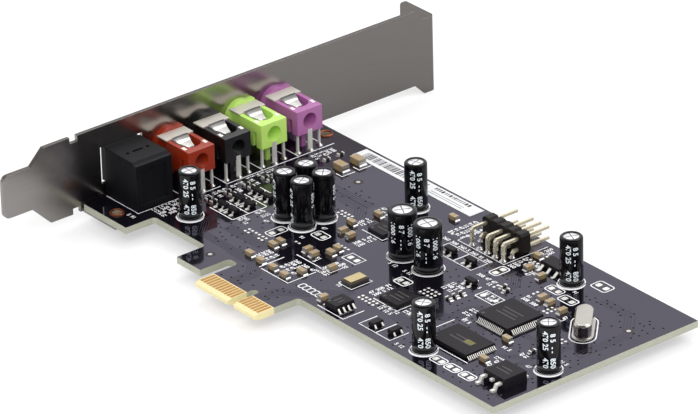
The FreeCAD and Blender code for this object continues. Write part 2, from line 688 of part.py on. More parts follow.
def make_jack_spring(y):
    """A sheet spring: a plate on the core, a tongue that dips to the bore, and a leg through the board."""
    plate_x = bracket_in_x + JACK_COLLAR_DEPTH
    tip_x = jack_cheek_x + SPRING_REACH
    tip_z = PORT_AXIS_Z + JACK_BORE_R + SPRING_CLEARANCE
    dip_x = jack_cheek_x + SPRING_DIP
    dip_z = tip_z + SPRING_LIFT
    top_z = jack_high_z + SPRING_SHEET
    half = SPRING_WIDTH / 2
    side = [
        (plate_x, jack_high_z),
        (jack_cheek_x, jack_high_z),
        (dip_x, dip_z),
        (tip_x, tip_z),
        (tip_x, tip_z + SPRING_SHEET),
        (dip_x, dip_z + SPRING_SHEET),
        (jack_cheek_x, top_z),
        (plate_x, top_z),
    ]
    plan = [
        (plate_x, -half),
        (jack_cheek_x, -half),
        (jack_cheek_x, -SPRING_NECK / 2),
        (tip_x, -SPRING_TIP / 2),
        (tip_x, SPRING_TIP / 2),
        (jack_cheek_x, SPRING_NECK / 2),
        (jack_cheek_x, half),
        (plate_x, half),
    ]
    sheet = prism([(x, y - half, z) for x, z in side], vector(0, SPRING_WIDTH, 0))
    cookie = prism([(x, y + across, 0) for x, across in plan], vector(0, 0, top_z + CUT_PAST))
    strip, pins, (leg_x, leg_y) = jack_pin_spots(y)
    leg_half = SPRING_LEG_WIDTH / 2
    sheet_half = SPRING_SHEET / 2
    leg = box(leg_x - leg_half, leg_x + leg_half, leg_y - sheet_half, leg_y + sheet_half, tail_z, top_z)
    return join([sheet.common(cookie), leg])


def make_jack_pins(y):
    (strip_x, strip_y), pins, leg = jack_pin_spots(y)
    top_z = jack_low_z + JACK_PIN_SEAT
    sheet_half = SPRING_SHEET / 2
    strip_half = JACK_STRIP_WIDTH / 2
    half = JACK_PIN / 2
    solids = [box(strip_x - sheet_half, strip_x + sheet_half, strip_y - strip_half, strip_y + strip_half,
                  tail_z, top_z)]
    for x, y_pin in pins:
        solids.append(box(x - half, x + half, y_pin - half, y_pin + half, tail_z, top_z))
    return solids


def make_optical_housing():
    """The fibre socket's moulding, open at the nose, with a chamber for the emitter that opens downwards."""
    y = OPTICAL_Y
    half = OPTICAL_WIDTH / 2
    nose_y = OPTICAL_NOSE_WIDTH / 2
    nose_z = OPTICAL_NOSE_HEIGHT / 2
    nose_x = bracket_out_x - OPTICAL_PROUD
    z = PORT_AXIS_Z
    solids = [
        box(optical_front_x, optical_back_x, y - half, y + half, 0, OPTICAL_HEIGHT),
        box(nose_x, optical_front_x, y - nose_y, y + nose_y, z - nose_z, z + nose_z),
    ]
    for spot in optical_peg_spots():
        solids.append(make_block_on_board(spot, OPTICAL_PEG, OPTICAL_PEG, tail_z, 0))
    housing = join(solids)
    port_y = OPTICAL_PORT_WIDTH / 2
    port_z = OPTICAL_PORT_HEIGHT / 2
    chamfer = OPTICAL_PORT_CHAMFER
    port = [
        (y - port_y, z - port_z),
        (y + port_y, z - port_z),
        (y + port_y, z + port_z - chamfer),
        (y + port_y - chamfer, z + port_z),
        (y - port_y + chamfer, z + port_z),
        (y - port_y, z + port_z - chamfer),
    ]
    start_x = nose_x - CUT_PAST
    step_x = optical_back_x - OPTICAL_STEP_LENGTH
    step_z = OPTICAL_HEIGHT - OPTICAL_STEP_DROP
    step = [
        (step_x, y - half, OPTICAL_HEIGHT),
        (step_x + OPTICAL_STEP_DROP, y - half, step_z),
        (optical_back_x, y - half, step_z),
        (optical_back_x, y - half, OPTICAL_HEIGHT),
    ]
    slot_x = optical_front_x + OPTICAL_LENGTH / 2
    slot_z = OPTICAL_HEIGHT - OPTICAL_SLOT_DEPTH
    slot = OPTICAL_SLOT / 2
    long_slot = OPTICAL_LONG_SLOT / 2
    emitter_y = EMITTER_WIDTH / 2
    margin = OPTICAL_PANEL_MARGIN
    cutters = [
        prism([(start_x, p, q) for p, q in port], vector(emitter_front_x - start_x, 0, 0)),
        prism(step, vector(0, OPTICAL_WIDTH, 0)),
        box(emitter_front_x, emitter_front_x + EMITTER_DEPTH, y - emitter_y, y + emitter_y,
            0, z + EMITTER_HEIGHT / 2),
        box(optical_back_x - OPTICAL_PANEL_DEPTH, optical_back_x, y - half + margin, y + half - margin,
            margin, step_z - margin),
        box(slot_x - slot, slot_x + slot, y - long_slot, y + long_slot, slot_z, OPTICAL_HEIGHT),
    ]
    for side in (-1, 1):
        spot = (slot_x, y + side * (long_slot + 2 * OPTICAL_SLOT))
        cutters.append(make_block_on_board(spot, OPTICAL_SLOT, OPTICAL_SLOT, slot_z, OPTICAL_HEIGHT))
    return housing.cut(cutters)


def make_emitter():
    """The light source: a block in the housing's chamber with a round lens towards the port."""
    half = EMITTER_WIDTH / 2
    rise = EMITTER_HEIGHT / 2
    z = PORT_AXIS_Z
    back_x = emitter_front_x + EMITTER_DEPTH
    block = box(emitter_front_x, back_x, OPTICAL_Y - half, OPTICAL_Y + half, z - rise, z + rise)
    lens_x = emitter_front_x - EMITTER_LENS_REACH
    rim = [(lens_x, OPTICAL_Y + u, z + v) for u, v in flats(EMITTER_LENS_R, SMALL_ROUND_SIDES)]
    lens = prism(rim, vector(EMITTER_LENS_REACH, 0, 0))
    return join([block, lens])


def make_emitter_leads():
    half = EMITTER_LEAD / 2
    top_z = PORT_AXIS_Z - EMITTER_HEIGHT / 2
    return [box(x - half, x + half, y - half, y + half, tail_z, top_z) for x, y in emitter_lead_spots()]


def make_capacitor_leads(x, y, pitch):
    return [wire(x + side * pitch / 2, y, tail_z, 0, CAPACITOR_LEAD_R) for side in (-1, 1)]


def header_block_y():
    """Front and back of the header's plastic block."""
    front_y = header_row_y + HEADER_PITCH * (HEADER_ROWS - 1) + HEADER_SET_BACK
    return front_y, front_y + HEADER_PITCH


def make_header_pin(x, hole_y, z):
    """A square pin bent from its hole in the board to run out over the back edge."""
    half = HEADER_PIN / 2
    tip_y = header_block_y()[1] + HEADER_PIN_REACH
    bend = [
        (hole_y - half, tail_z),
        (hole_y + half, tail_z),
        (hole_y + half, z - half),
        (tip_y, z - half),
        (tip_y, z + half),
        (hole_y + half, z + half),
        (hole_y - half, z - half),
    ]
    return prism([(x - half, p, q) for p, q in bend], vector(HEADER_PIN, 0, 0))


def make_header_block(pins):
    half = HEADER_PITCH * HEADER_COLUMNS / 2
    front_y, back_y = header_block_y()
    block = box(header_x - half, header_x + half, front_y, back_y, 0, HEADER_PITCH * HEADER_ROWS)
    return block.cut(pins)


def make_oval(length, width, z0, z1):
    """An upright solid with two round ends, centred on the Z axis."""
    straight = (length - width) / 2
    half = width / 2
    ends = [upright(side * straight, 0, z0, z1, half) for side in (-1, 1)]
    return join([box(-straight, straight, -half, half, z0, z1)] + ends)


def make_crystal():
    flange = make_oval(CRYSTAL_LENGTH + 2 * CRYSTAL_FLANGE, CRYSTAL_WIDTH + 2 * CRYSTAL_FLANGE,
                       0, CRYSTAL_FLANGE_HEIGHT)
    can = make_oval(CRYSTAL_LENGTH, CRYSTAL_WIDTH, CRYSTAL_FLANGE_HEIGHT, CRYSTAL_HEIGHT)
    top = [edge for edge in can.Edges if edge.BoundBox.ZMin > CRYSTAL_HEIGHT - TOUCH]
    can = join([flange, can.makeChamfer(CRYSTAL_EDGE, top)])
    can.rotate(vector(0, 0, 0), vector(0, 0, 1), CRYSTAL_TURN)
    can.translate(vector(crystal_spot[0], crystal_spot[1], 0))
    return can


def make_crystal_leads():
    return [wire(x, y, tail_z, 0, CRYSTAL_LEAD_R) for x, y in crystal_lead_spots()]


def frustum(spot, length, width, z0, z1, lean_low, lean_high):
    """A block whose lower and upper faces are smaller than its full size by the given leans."""
    x, y = spot
    wires = []
    for z, lean in ((z0, lean_low), (z1, lean_high)):
        half_x = length / 2 - lean
        half_y = width / 2 - lean
        signs = ((-1, -1), (1, -1), (1, 1), (-1, 1))
        points = [vector(x + p * half_x, y + q * half_y, z) for p, q in signs]
        wires.append(Part.makePolygon(points + points[:1]))
    return Part.makeLoft(wires, True, True)


def make_chip_body(spot, length, width, height):
    """A moulded chip, parted at half its height, with sides that lean in from the parting line."""
    middle_z = (CHIP_STANDOFF + height) / 2
    lower = frustum(spot, length, width, CHIP_STANDOFF, middle_z, CHIP_DRAFT, 0)
    upper = frustum(spot, length, width, middle_z, height, 0, CHIP_DRAFT)
    return join([lower, upper])


def make_lead_row(spot, half_body, half_span, height, count, pitch, width, turn):
    """A row of gull-wing leads on the +X side of a chip, then turned about the chip's middle."""
    middle_z = (CHIP_STANDOFF + height) / 2
    knee = half_body + (half_span - half_body) / 2
    section = [
        (half_body, middle_z - LEAD_SHEET / 2),
        (knee, 0),
        (half_span, 0),
        (half_span, LEAD_SHEET),
        (knee + LEAD_SHEET / 2, LEAD_SHEET),
        (half_body, middle_z + LEAD_SHEET / 2),
    ]
    leads = []
    for n in range(count):
        low_y = spot[1] + pitch * (n - (count - 1) / 2) - width / 2
        lead = prism([(spot[0] + p, low_y, q) for p, q in section], vector(0, width, 0))
        lead.rotate(vector(spot[0], spot[1], 0), vector(0, 0, 1), turn)
        leads.append(lead)
    return leads


def make_regulator_leads():
    """The heat tab, the two bent leads and the cropped middle lead."""
    x, y = regulator_spot
    tab = REGULATOR_TAB_WIDTH / 2
    front_y = y - REGULATOR_DEPTH / 2
    back_y = y + REGULATOR_DEPTH / 2
    sheet = REGULATOR_SHEET
    foot_y = front_y - REGULATOR_LEAD_REACH
    knee_y = front_y - REGULATOR_LEAD_REACH / 2
    low_z = REGULATOR_LEAD_RISE
    section = [
        (front_y, low_z),
        (front_y, low_z + sheet),
        (knee_y, low_z + sheet),
        (knee_y - sheet, sheet),
        (foot_y, sheet),
        (foot_y, 0),
        (knee_y - sheet / 2, 0),
        (knee_y + sheet / 2, low_z),
    ]
    half = REGULATOR_LEAD / 2
    solids = [box(x - tab, x + tab, back_y, back_y + REGULATOR_TAB_REACH, 0, sheet)]
    for side in (-1, 1):
        low_x = x + side * REGULATOR_LEAD_PITCH / 2 - half
        solids.append(prism([(low_x, p, q) for p, q in section], vector(REGULATOR_LEAD, 0, 0)))
    solids.append(box(x - half, x + half, front_y - REGULATOR_STUB, front_y, low_z, low_z + sheet))
    return solids


def make_block_on_board(spot, size_x, size_y, z0, z1):
    x, y = spot
    return box(x - size_x / 2, x + size_x / 2, y - size_y / 2, y + size_y / 2, z0, z1)


def make_two_ended(size, spots):
    length, width, height = size
    chips = []
    for x, y, way in spots:
        size_x, size_y = (length, width) if way == "x" else (width, length)
        chips.append(make_block_on_board((x, y), size_x, size_y, 0, height))
    return chips


def save_ports():
    save("optical_housing", [make_optical_housing()])
    save("optical_emitter", [make_emitter()])
    save("optical_leads", make_emitter_leads())
    for colour, y in zip(JACK_COLOURS, jack_ys):
        save("jack_%s_body" % colour, [make_jack_body(y)])
        save("jack_%s_spring" % colour, [make_jack_spring(y)])
        save("jack_%s_pins" % colour, make_jack_pins(y))


def save_capacitors():
    leads = []
    for number, (x, y, diameter, pitch) in enumerate(capacitor_spots(), 1):
        save("capacitor_%02d" % number, [upright(x, y, 0, CAPACITOR_HEIGHT, diameter / 2)])
        leads += make_capacitor_leads(x, y, pitch)
    save("capacitor_leads", leads)


def save_chips():
    save("audio_chip_body", [make_chip_body(audio_spot, AUDIO_SIDE, AUDIO_SIDE, AUDIO_HEIGHT)])
    leads = []
    for turn in (0, 90, 180, 270):
        leads += make_lead_row(audio_spot, AUDIO_SIDE / 2, AUDIO_SPAN / 2, AUDIO_HEIGHT, AUDIO_LEADS,
                               FINE_PITCH, FINE_LEAD, turn)
    save("audio_chip_leads", leads)
    save("memory_chip_body", [make_chip_body(memory_spot, MEMORY_LENGTH, MEMORY_WIDTH, MEMORY_HEIGHT)])
    leads = []
    for turn in (0, 180):
        leads += make_lead_row(memory_spot, MEMORY_LENGTH / 2, MEMORY_SPAN / 2, MEMORY_HEIGHT, MEMORY_LEADS,
                               FINE_PITCH, FINE_LEAD, turn)
    save("memory_chip_leads", leads)
    save("amplifier_body", [
        make_chip_body(amplifier_spot, AMPLIFIER_LENGTH, AMPLIFIER_WIDTH, AMPLIFIER_HEIGHT)])
    leads = []
    for turn in (0, 180):
        leads += make_lead_row(amplifier_spot, AMPLIFIER_LENGTH / 2, AMPLIFIER_SPAN / 2, AMPLIFIER_HEIGHT,
                               AMPLIFIER_LEADS, AMPLIFIER_PITCH, AMPLIFIER_LEAD, turn)
    save("amplifier_leads", leads)
    bodies = []
    leads = []
    for spot in transistor_spots:
        bodies.append(make_chip_body(spot, TRANSISTOR_LENGTH, TRANSISTOR_WIDTH, TRANSISTOR_HEIGHT))
        for turn, count in ((0, TRANSISTOR_RIGHT_LEADS), (180, TRANSISTOR_LEFT_LEADS)):
            leads += make_lead_row(spot, TRANSISTOR_LENGTH / 2, TRANSISTOR_SPAN / 2, TRANSISTOR_HEIGHT,
                                   count, TRANSISTOR_PITCH, TRANSISTOR_LEAD, turn)
    save("transistors", bodies)
    save("transistor_leads", leads)
    save("small_regulator_body", [
        make_chip_body(small_regulator_spot, SMALL_REGULATOR_LENGTH, SMALL_REGULATOR_WIDTH,
                       SMALL_REGULATOR_HEIGHT)])
    leads = []
    sides = ((270, SMALL_REGULATOR_LEADS, SMALL_REGULATOR_LEAD), (90, 1, SMALL_REGULATOR_TAB))
    for turn, count, width in sides:
        leads += make_lead_row(small_regulator_spot, SMALL_REGULATOR_WIDTH / 2, SMALL_REGULATOR_SPAN / 2,
                               SMALL_REGULATOR_HEIGHT, count, SMALL_REGULATOR_PITCH, width, turn)
    save("small_regulator_leads", leads)
    save("bridge_chip", [make_block_on_board(bridge_spot, BRIDGE_SIDE, BRIDGE_SIDE, 0, FLAT_CHIP_HEIGHT)])
    save("converter_chip", [
        make_block_on_board(converter_spot, CONVERTER_SIDE, CONVERTER_SIDE, 0, FLAT_CHIP_HEIGHT)])
    save("regulator_body", [
        frustum(regulator_spot, REGULATOR_WIDTH, REGULATOR_DEPTH, 0, REGULATOR_HEIGHT, 0, CHIP_DRAFT)])
    save("regulator_leads", make_regulator_leads())
    lid_x = OSCILLATOR_WIDTH - 2 * OSCILLATOR_RIM
    lid_y = OSCILLATOR_LENGTH - 2 * OSCILLATOR_RIM
    lid_z = OSCILLATOR_BASE + OSCILLATOR_LID
    save("oscillator_base", [
        make_block_on_board(oscillator_spot, OSCILLATOR_WIDTH, OSCILLATOR_LENGTH, 0, OSCILLATOR_BASE)])
    save("oscillator_lid", [
        make_block_on_board(oscillator_spot, lid_x, lid_y, OSCILLATOR_BASE, lid_z)])
    chips = make_two_ended(MEDIUM_CHIP, medium_chip_spots) + make_two_ended(LARGE_CHIP, large_chip_spots)
    save("chip_capacitors", chips)
    save("chip_resistors", make_two_ended(SMALL_CHIP, resistor_spots))


def save_header_and_crystal():
    pins = [make_header_pin(x, y, z) for x, y, z in header_pins()]
    save("header_block", [make_header_block(pins)])
    save("header_pins", pins)
    save("crystal_can", [make_crystal()])
    save("crystal_leads", make_crystal_leads())


def main():
    os.makedirs("parts", exist_ok=True)
    save("pcb", [make_board()])
    save("edge_contacts", make_edge_contacts())
    save("bracket_plate", [make_bracket_plate()])
    save("bracket_screw_flange", [make_bracket_flange()])
    save("bracket_lugs", [make_lug(LOW_LUG_Y), make_lug(HIGH_LUG_Y)])
    save("bracket_eyelets", [make_eyelet(LOW_LUG_Y), make_eyelet(HIGH_LUG_Y)])
    label_high_y = BOARD_BACK_Y - LABEL_MARGIN
    save("label", [box(LABEL_LEFT_X, LABEL_LEFT_X + LABEL_LENGTH, label_high_y - LABEL_WIDTH, label_high_y,
                       0, LABEL_THICKNESS)])
    save_ports()
    save_capacitors()
    save_header_and_crystal()
    save_chips()


main()
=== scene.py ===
import random
from math import cos, hypot, radians, sin, tan, tau

import bmesh
import bpy
from mathutils import Matrix, Vector


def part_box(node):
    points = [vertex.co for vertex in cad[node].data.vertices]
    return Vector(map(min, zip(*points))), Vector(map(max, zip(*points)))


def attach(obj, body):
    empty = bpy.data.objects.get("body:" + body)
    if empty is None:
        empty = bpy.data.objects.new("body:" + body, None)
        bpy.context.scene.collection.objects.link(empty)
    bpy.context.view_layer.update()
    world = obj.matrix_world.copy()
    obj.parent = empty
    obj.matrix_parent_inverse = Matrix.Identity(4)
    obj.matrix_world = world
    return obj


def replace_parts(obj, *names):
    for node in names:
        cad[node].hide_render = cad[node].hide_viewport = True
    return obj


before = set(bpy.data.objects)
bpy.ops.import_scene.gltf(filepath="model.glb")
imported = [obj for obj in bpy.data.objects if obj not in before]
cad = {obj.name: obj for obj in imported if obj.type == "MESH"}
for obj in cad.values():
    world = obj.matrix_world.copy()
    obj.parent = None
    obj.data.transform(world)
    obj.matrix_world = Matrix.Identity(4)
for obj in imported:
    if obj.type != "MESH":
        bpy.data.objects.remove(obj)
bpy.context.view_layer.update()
scene = bpy.context.scene
mm = 0.001


def toLinear(code):
    channels = [int(code[n:n + 2], 16) / 255 for n in (1, 3, 5)]
    return tuple(c / 12.92 if c <= 0.04045 else ((c + 0.055) / 1.055) ** 2.4 for c in channels) + (1.0,)


def setInputs(tree, node, inputs):
    for key, value in inputs.items():
        if isinstance(value, bpy.types.Node):
            value = value.outputs[0]
        if isinstance(value, bpy.types.NodeSocket):
            tree.links.new(value, node.inputs[key])
        elif isinstance(value, str) and value.startswith("#"):
            node.inputs[key].default_value = toLinear(value)
        else:
            node.inputs[key].default_value = value


def addNode(tree, kind, inputs={}, **settings):
    node = tree.nodes.new(kind)
    for key, value in settings.items():
        setattr(node, key, value)
    setInputs(tree, node, inputs)
    return node


def calc(tree, operation, *values):
    return addNode(tree, "ShaderNodeMath", dict(enumerate(values)), operation=operation)


def blend(tree, factor, first, second):
    return addNode(tree, "ShaderNodeMix", {0: factor, 6: first, 7: second}, data_type="RGBA").outputs[2]


def mixLevels(tree, factor, first, second):
    return addNode(tree, "ShaderNodeMix", {0: factor, 2: first, 3: second}, data_type="FLOAT")


def remap(tree, value, start, end, low, high, curve="LINEAR"):
    return addNode(tree, "ShaderNodeMapRange", {
        "Value": value, "From Min": start, "From Max": end, "To Min": low, "To Max": high}, interpolation_type=curve)


def dim(tree, colour, level):
    return addNode(tree, "ShaderNodeVectorMath", {0: colour, "Scale": level}, operation="SCALE")


def axis(tree, vector, letter):
    return addNode(tree, "ShaderNodeSeparateXYZ", {0: vector}).outputs[letter]


def place(tree):
    return addNode(tree, "ShaderNodeTexCoord").outputs["Object"]


def facingUp(tree, least):
    normal = addNode(tree, "ShaderNodeNewGeometry").outputs["Normal"]
    return calc(tree, "GREATER_THAN", calc(tree, "ABSOLUTE", axis(tree, normal, "Z")), least)


def rayIs(tree, kind):
    return addNode(tree, "ShaderNodeLightPath").outputs[f"Is {kind} Ray"]


def newMaterial(name, inputs):
    material = bpy.data.materials.new(name)
    material.use_nodes = True
    tree = material.node_tree
    shader = tree.nodes["Principled BSDF"]
    setInputs(tree, shader, inputs)
    return material, tree, shader


def wear(tree, shader, size, colours, roughness, bump, stretch=(1, 1, 1), edge=0.0):
    spread = addNode(tree, "ShaderNodeMapping", {"Vector": place(tree), "Scale": stretch})
    grain = addNode(tree, "ShaderNodeTexNoise", {"Vector": spread, "Scale": 1 / (size * mm), "Detail": 4.0})
    relief = addNode(tree, "ShaderNodeBump", {"Height": grain, "Distance": bump * mm, "Strength": 1.0})
    if edge:
        rounded = addNode(tree, "ShaderNodeBevel", {"Radius": edge * mm}, samples=6)
        setInputs(tree, relief, {"Normal": rounded})
    colour = blend(tree, grain, *colours)
    setInputs(tree, shader, {
        "Base Color": colour, "Roughness": remap(tree, grain, 0, 1, *roughness), "Normal": relief})
    return colour


def finish(name, inputs, *surface, **more):
    material, tree, shader = newMaterial(name, inputs)
    wear(tree, shader, *surface, **more)
    return material


def sheetMesh(outlines):
    mesh = bpy.data.meshes.new("shape")
    points = []
    faces = []
    for outline in outlines:
        faces.append(tuple(range(len(points), len(points) + len(outline))))
        points += [tuple(c * mm for c in point) for point in outline]
    mesh.from_pydata(points, [], faces)
    return mesh


def quad(x0, y0, x1, y1, z=0.0):
    return [(x0, y0, z), (x1, y0, z), (x1, y1, z), (x0, y1, z)]


def pairs(numbers):
    return list(zip(numbers[::2], numbers[1::2]))


# Camera, worked out from the straight edges of the board and bracket in the photograph
shot = {
    "position": (813.03, -608.87, 536.60),
    "right": (0.62975, 0.77644, -0.02382),
    "down": (0.33787, -0.30139, -0.89163),
    "ahead": (-0.69947, 0.55346, -0.45213),
    "focal": 5508.63,            # pixels
    "middle": (357.45, 204.25),  # where the lens axis meets the picture
    "size": (700, 414),
    "clip": (0.05, 20),          # metres
}
lens = bpy.data.cameras.new("photoCamera")
lens.sensor_fit = "HORIZONTAL"
lens.sensor_width = 36
lens.lens = shot["focal"] / shot["size"][0] * lens.sensor_width
lens.shift_x = (shot["size"][0] / 2 - shot["middle"][0]) / shot["size"][0]
lens.shift_y = (shot["middle"][1] - shot["size"][1] / 2) / shot["size"][0]
lens.clip_start, lens.clip_end = shot["clip"]
camera = bpy.data.objects.new("photoCamera", lens)
scene.collection.objects.link(camera)
axes = [Vector(shot["right"]), -Vector(shot["down"]), -Vector(shot["ahead"])]
camera.matrix_world = Matrix.Translation(Vector(shot["position"]) * mm) @ Matrix(axes).transposed().to_4x4()
scene.camera = camera
scene.view_settings.view_transform = "Standard"
print("camera set")

# Plain white studio: what mirrors in the gloss is white behind the card and darker on the camera's side
studio = {
    "floorZ": -4.62, "floorSize": 1600.0, "diffuse": 0.72, "nearSide": 0.12, "paperGlow": 0.5,
    "mirrored": (0.63, 0.35), "mirroredY": (0.0, 0.07),  # how bright the gloss sees the floor, near and far
    "behind": (-0.76, 0.60, 0.25), "turnover": (-0.2, 0.7), "aim": (0, 0.035, 0),
    "lights": (
        ("keyLight", 3.8, (-0.38, 0.50, 1.05), 0.7), ("backLight", 2.8, (0.50, 0.62, 0.77), 0.8),
        ("rimLight", 2.0, (-0.80, -0.42, 0.60), 0.5), ("fillLight", 6.5, (0.62, -0.55, 0.80), 0.8)),
}
white = (1, 1, 1, 1)
world = bpy.data.worlds.new("studio")
world.use_nodes = True
scene.world = world
tree = world.node_tree
tree.nodes.clear()
direction = addNode(tree, "ShaderNodeTexCoord").outputs["Generated"]
facing = addNode(tree, "ShaderNodeVectorMath", {0: direction, 1: studio["behind"]}, operation="DOT_PRODUCT")
backdrop = remap(tree, facing.outputs["Value"], *studio["turnover"], studio["nearSide"], 1.0, "SMOOTHSTEP")
seen = calc(tree, "MAXIMUM", rayIs(tree, "Camera"), rayIs(tree, "Transmission"))
soft = mixLevels(tree, rayIs(tree, "Glossy"), studio["diffuse"], backdrop)
sky = addNode(tree, "ShaderNodeBackground", {"Color": white, "Strength": mixLevels(tree, seen, soft, 1.0)})
addNode(tree, "ShaderNodeOutputWorld", {"Surface": sky})

floorMaterial, tree, shader = newMaterial("paperSweep", {"Specular IOR Level": 0.1})
paper = wear(tree, shader, 12.0, ("#f6f6f6", "#fbfbfb"), (0.85, 0.95), 0.01)
# Painted shade: as the gloss sees it, the floor is dimmed, less at the front and more towards the back
mirroredFloorShade = remap(tree, axis(tree, place(tree), "Y"), *studio["mirroredY"], *studio["mirrored"])
setInputs(tree, shader, {"Base Color": dim(tree, paper, remap(tree, rayIs(tree, "Glossy"), 0, 1, 1.0, mirroredFloorShade))})
glow = addNode(tree, "ShaderNodeEmission", {"Color": white})
lit = calc(tree, "MULTIPLY", rayIs(tree, "Camera"), studio["paperGlow"])
sweep = addNode(tree, "ShaderNodeMixShader", {0: lit, 1: shader, 2: glow})
setInputs(tree, tree.nodes["Material Output"], {"Surface": sweep})
half = studio["floorSize"] / 2
floorMesh = sheetMesh([quad(-half, -half, half, half, studio["floorZ"])])
floorMesh.materials.append(floorMaterial)
floor = bpy.data.objects.new("floor", floorMesh)
scene.collection.objects.link(floor)
for name, power, spot, size in studio["lights"]:
    lamp = bpy.data.lights.new(name, "AREA")
    lamp.energy = power
    lamp.size = size
    light = bpy.data.objects.new(name, lamp)
    light.location = spot
    light.rotation_euler = (Vector(studio["aim"]) - Vector(spot)).to_track_quat("-Z", "Y").to_euler()
    light.visible_glossy = name in ("keyLight", "backLight")  # wide panels, so no glint is much brighter than white
    scene.collection.objects.link(light)
print("studio set")

# Gloss black mask over woven glass: mirrors the parts standing on it, bare laminate shows at cut edges and the tab
mask = {"tabY": 5.1, "tabX": -2.0, "tabHalf": 10.4, "flat": 0.97, "weave": 0.45, "cloud": 9.0,
        "ply": 0.2, "wave": 0.314,  # the length of the node's own wave, at scale 1
        "roughness": (0.6, 0.055), "ripple": 6.0, "bump": 0.0006}
solderMask, tree, shader = newMaterial("solderMask", {
    "IOR": 1.52, "Specular IOR Level": 1.0, "Specular Tint": "#d2c8f6"})
spot = place(tree)
onFace = facingUp(tree, mask["flat"])
pastTab = calc(tree, "GREATER_THAN", axis(tree, spot, "Y"), mask["tabY"] * mm)
acrossTab = calc(tree, "COMPARE", axis(tree, spot, "X"), mask["tabX"] * mm, mask["tabHalf"] * mm)
coated = calc(tree, "MAXIMUM", pastTab, calc(tree, "SUBTRACT", 1.0, acrossTab))
masked = calc(tree, "MULTIPLY", onFace, coated)
weave = addNode(tree, "ShaderNodeTexChecker", {"Vector": spot, "Scale": 1 / (mask["weave"] * mm)}).outputs[1]
cloud = addNode(tree, "ShaderNodeTexNoise", {"Vector": spot, "Scale": 1 / (mask["cloud"] * mm), "Detail": 3.0})
ply = addNode(tree, "ShaderNodeTexWave", {
    "Vector": spot, "Scale": mask["wave"] / (mask["ply"] * mm), "Distortion": 1.5, "Detail": 2.0}, bands_direction="Z")
ink = blend(tree, cloud, "#0b0a0f", "#141219")
cutEdge = blend(tree, ply, "#84866f", "#c8cab6")
tab = blend(tree, onFace, "#e2d6a0", "#e4cd98")
glass = blend(tree, coated, tab, cutEdge)
ripple = calc(tree, "MULTIPLY_ADD", cloud, mask["ripple"], weave)
relief = addNode(tree, "ShaderNodeBump", {"Height": ripple, "Distance": mask["bump"] * mm, "Strength": 1.0})
setInputs(tree, shader, {
    "Base Color": blend(tree, masked, glass, ink), "Roughness": mixLevels(tree, masked, *mask["roughness"]),
    "Normal": relief})

# Copper under the mask: a shade lighter, so the tracks just show
trackMask = finish("maskOverCopper", {"IOR": 1.52, "Specular IOR Level": 0.35, "Specular Tint": "#dccff2"},
                   4.0, ("#1c1a24", "#262330"), (0.26, 0.34), 0.0005)

# Mask sunk into a hole, painted near black with no gloss: painted shade of the dimple
holeShadeMask = finish("paintedHoleShade", {"IOR": 1.5, "Specular IOR Level": 0.1},
                  0.5, ("#030303", "#070608"), (0.5, 0.7), 0.001)

# Hard gold plate: warm, a little uneven from the bath
gold = finish("goldPlate", {"Metallic": 1.0}, 6.0, ("#c79d5c", "#bf9350"), (0.2, 0.26), 0.0001)

# Rolled steel under dull nickel: grain runs along the bracket and smears its reflections
bracketSteel, tree, shader = newMaterial("nickelSheet", {"Metallic": 1.0})
rolled = wear(tree, shader, 0.25, ("#aea9a6", "#a39e9b"), (0.19, 0.25), 0.0006, (1, 0.04, 1), 0.18)
# Painted shade in part: near-horizontal faces, the top edge among them, get a darker colour
edgeSteelAndShade = blend(tree, facingUp(tree, 0.7), rolled, "#66605c")
setInputs(tree, shader, {"Base Color": edgeSteelAndShade})  # faces that look up or down are painted darker: duller bare steel where sheared, and painted shade on the top edge

# Bright tin: short uneven highlights, as on dipped leads
tin = finish("tinPlate", {"Metallic": 1.0}, 0.8, ("#eceae6", "#dbd9d5"), (0.26, 0.36), 0.003)

# Matt tin on pins and leads: part mirror, part milk
mattTin = finish("mattTin", {"Metallic": 0.5}, 0.8, ("#f1efea", "#dedbd4"), (0.3, 0.42), 0.003)

# Levelled solder on bare lands: whiter still, seen almost flat
landTin = finish("levelledSolder", {"Metallic": 0.35}, 0.5, ("#f5f4f1", "#e2e0da"), (0.35, 0.5), 0.004)

# Fired silver ends of the two-ended chips, tinned and a little brown
chipEndTin = finish("tinnedSilverEnd", {"Metallic": 0.55}, 0.3, ("#b8ae9e", "#9f9585"), (0.34, 0.46), 0.004, edge=0.12)

# Sprung steel: cleaner and harder than the tin
springSteel = finish("springSteel", {"Metallic": 0.6},
                     2.0, ("#e2ddd3", "#d6d1c7"), (0.42, 0.5), 0.0003, (0.2, 1, 1), 0.08)

# Its tongue carries painted shade: near black where it leaves the plate, pale past the dip, a painted dark band of
# reflection along the curve
streaks = {"x": (-51.9 * mm, -50.5 * mm), "shade": (0.04, 0.9)}
tongueShadedSteel, tree, shader = newMaterial("tongueShadedSteel", {"Metallic": 0.6})
tongueGrain = wear(tree, shader, 1.0, ("#f0eeea", "#e2e0dc"), (0.08, 0.14), 0.0003, (0.2, 1, 1))
shade = remap(tree, axis(tree, place(tree), "X"), *streaks["x"], *streaks["shade"], "SMOOTHSTEP")
setInputs(tree, shader, {"Base Color": dim(tree, tongueGrain, shade)})

# Flash gold over nickel on the header: paler than the edge tab
paleGold = finish("flashGold", {"Metallic": 0.75}, 1.0, ("#f2ebd5", "#e3d9bd"), (0.22, 0.32), 0.001)

# Moulded shells: dyed through, faint orange-peel gloss with rounded corners that catch the light
plastics = {}
for dye, dark, pale, rough in (
    ("orange", "#90270c", "#9d3012", 0.30), ("black", "#0c0c0d", "#151516", 0.34),
    ("lime", "#b8e264", "#c4ea78", 0.30), ("purple", "#a35c98", "#b06ba6", 0.30),
):
    plastics[dye] = finish(dye + "Plastic", {"IOR": 1.53, "Specular IOR Level": 0.85},
                           1.4, (dark, pale), (rough - 0.06, rough + 0.06), 0.006, edge=0.25)

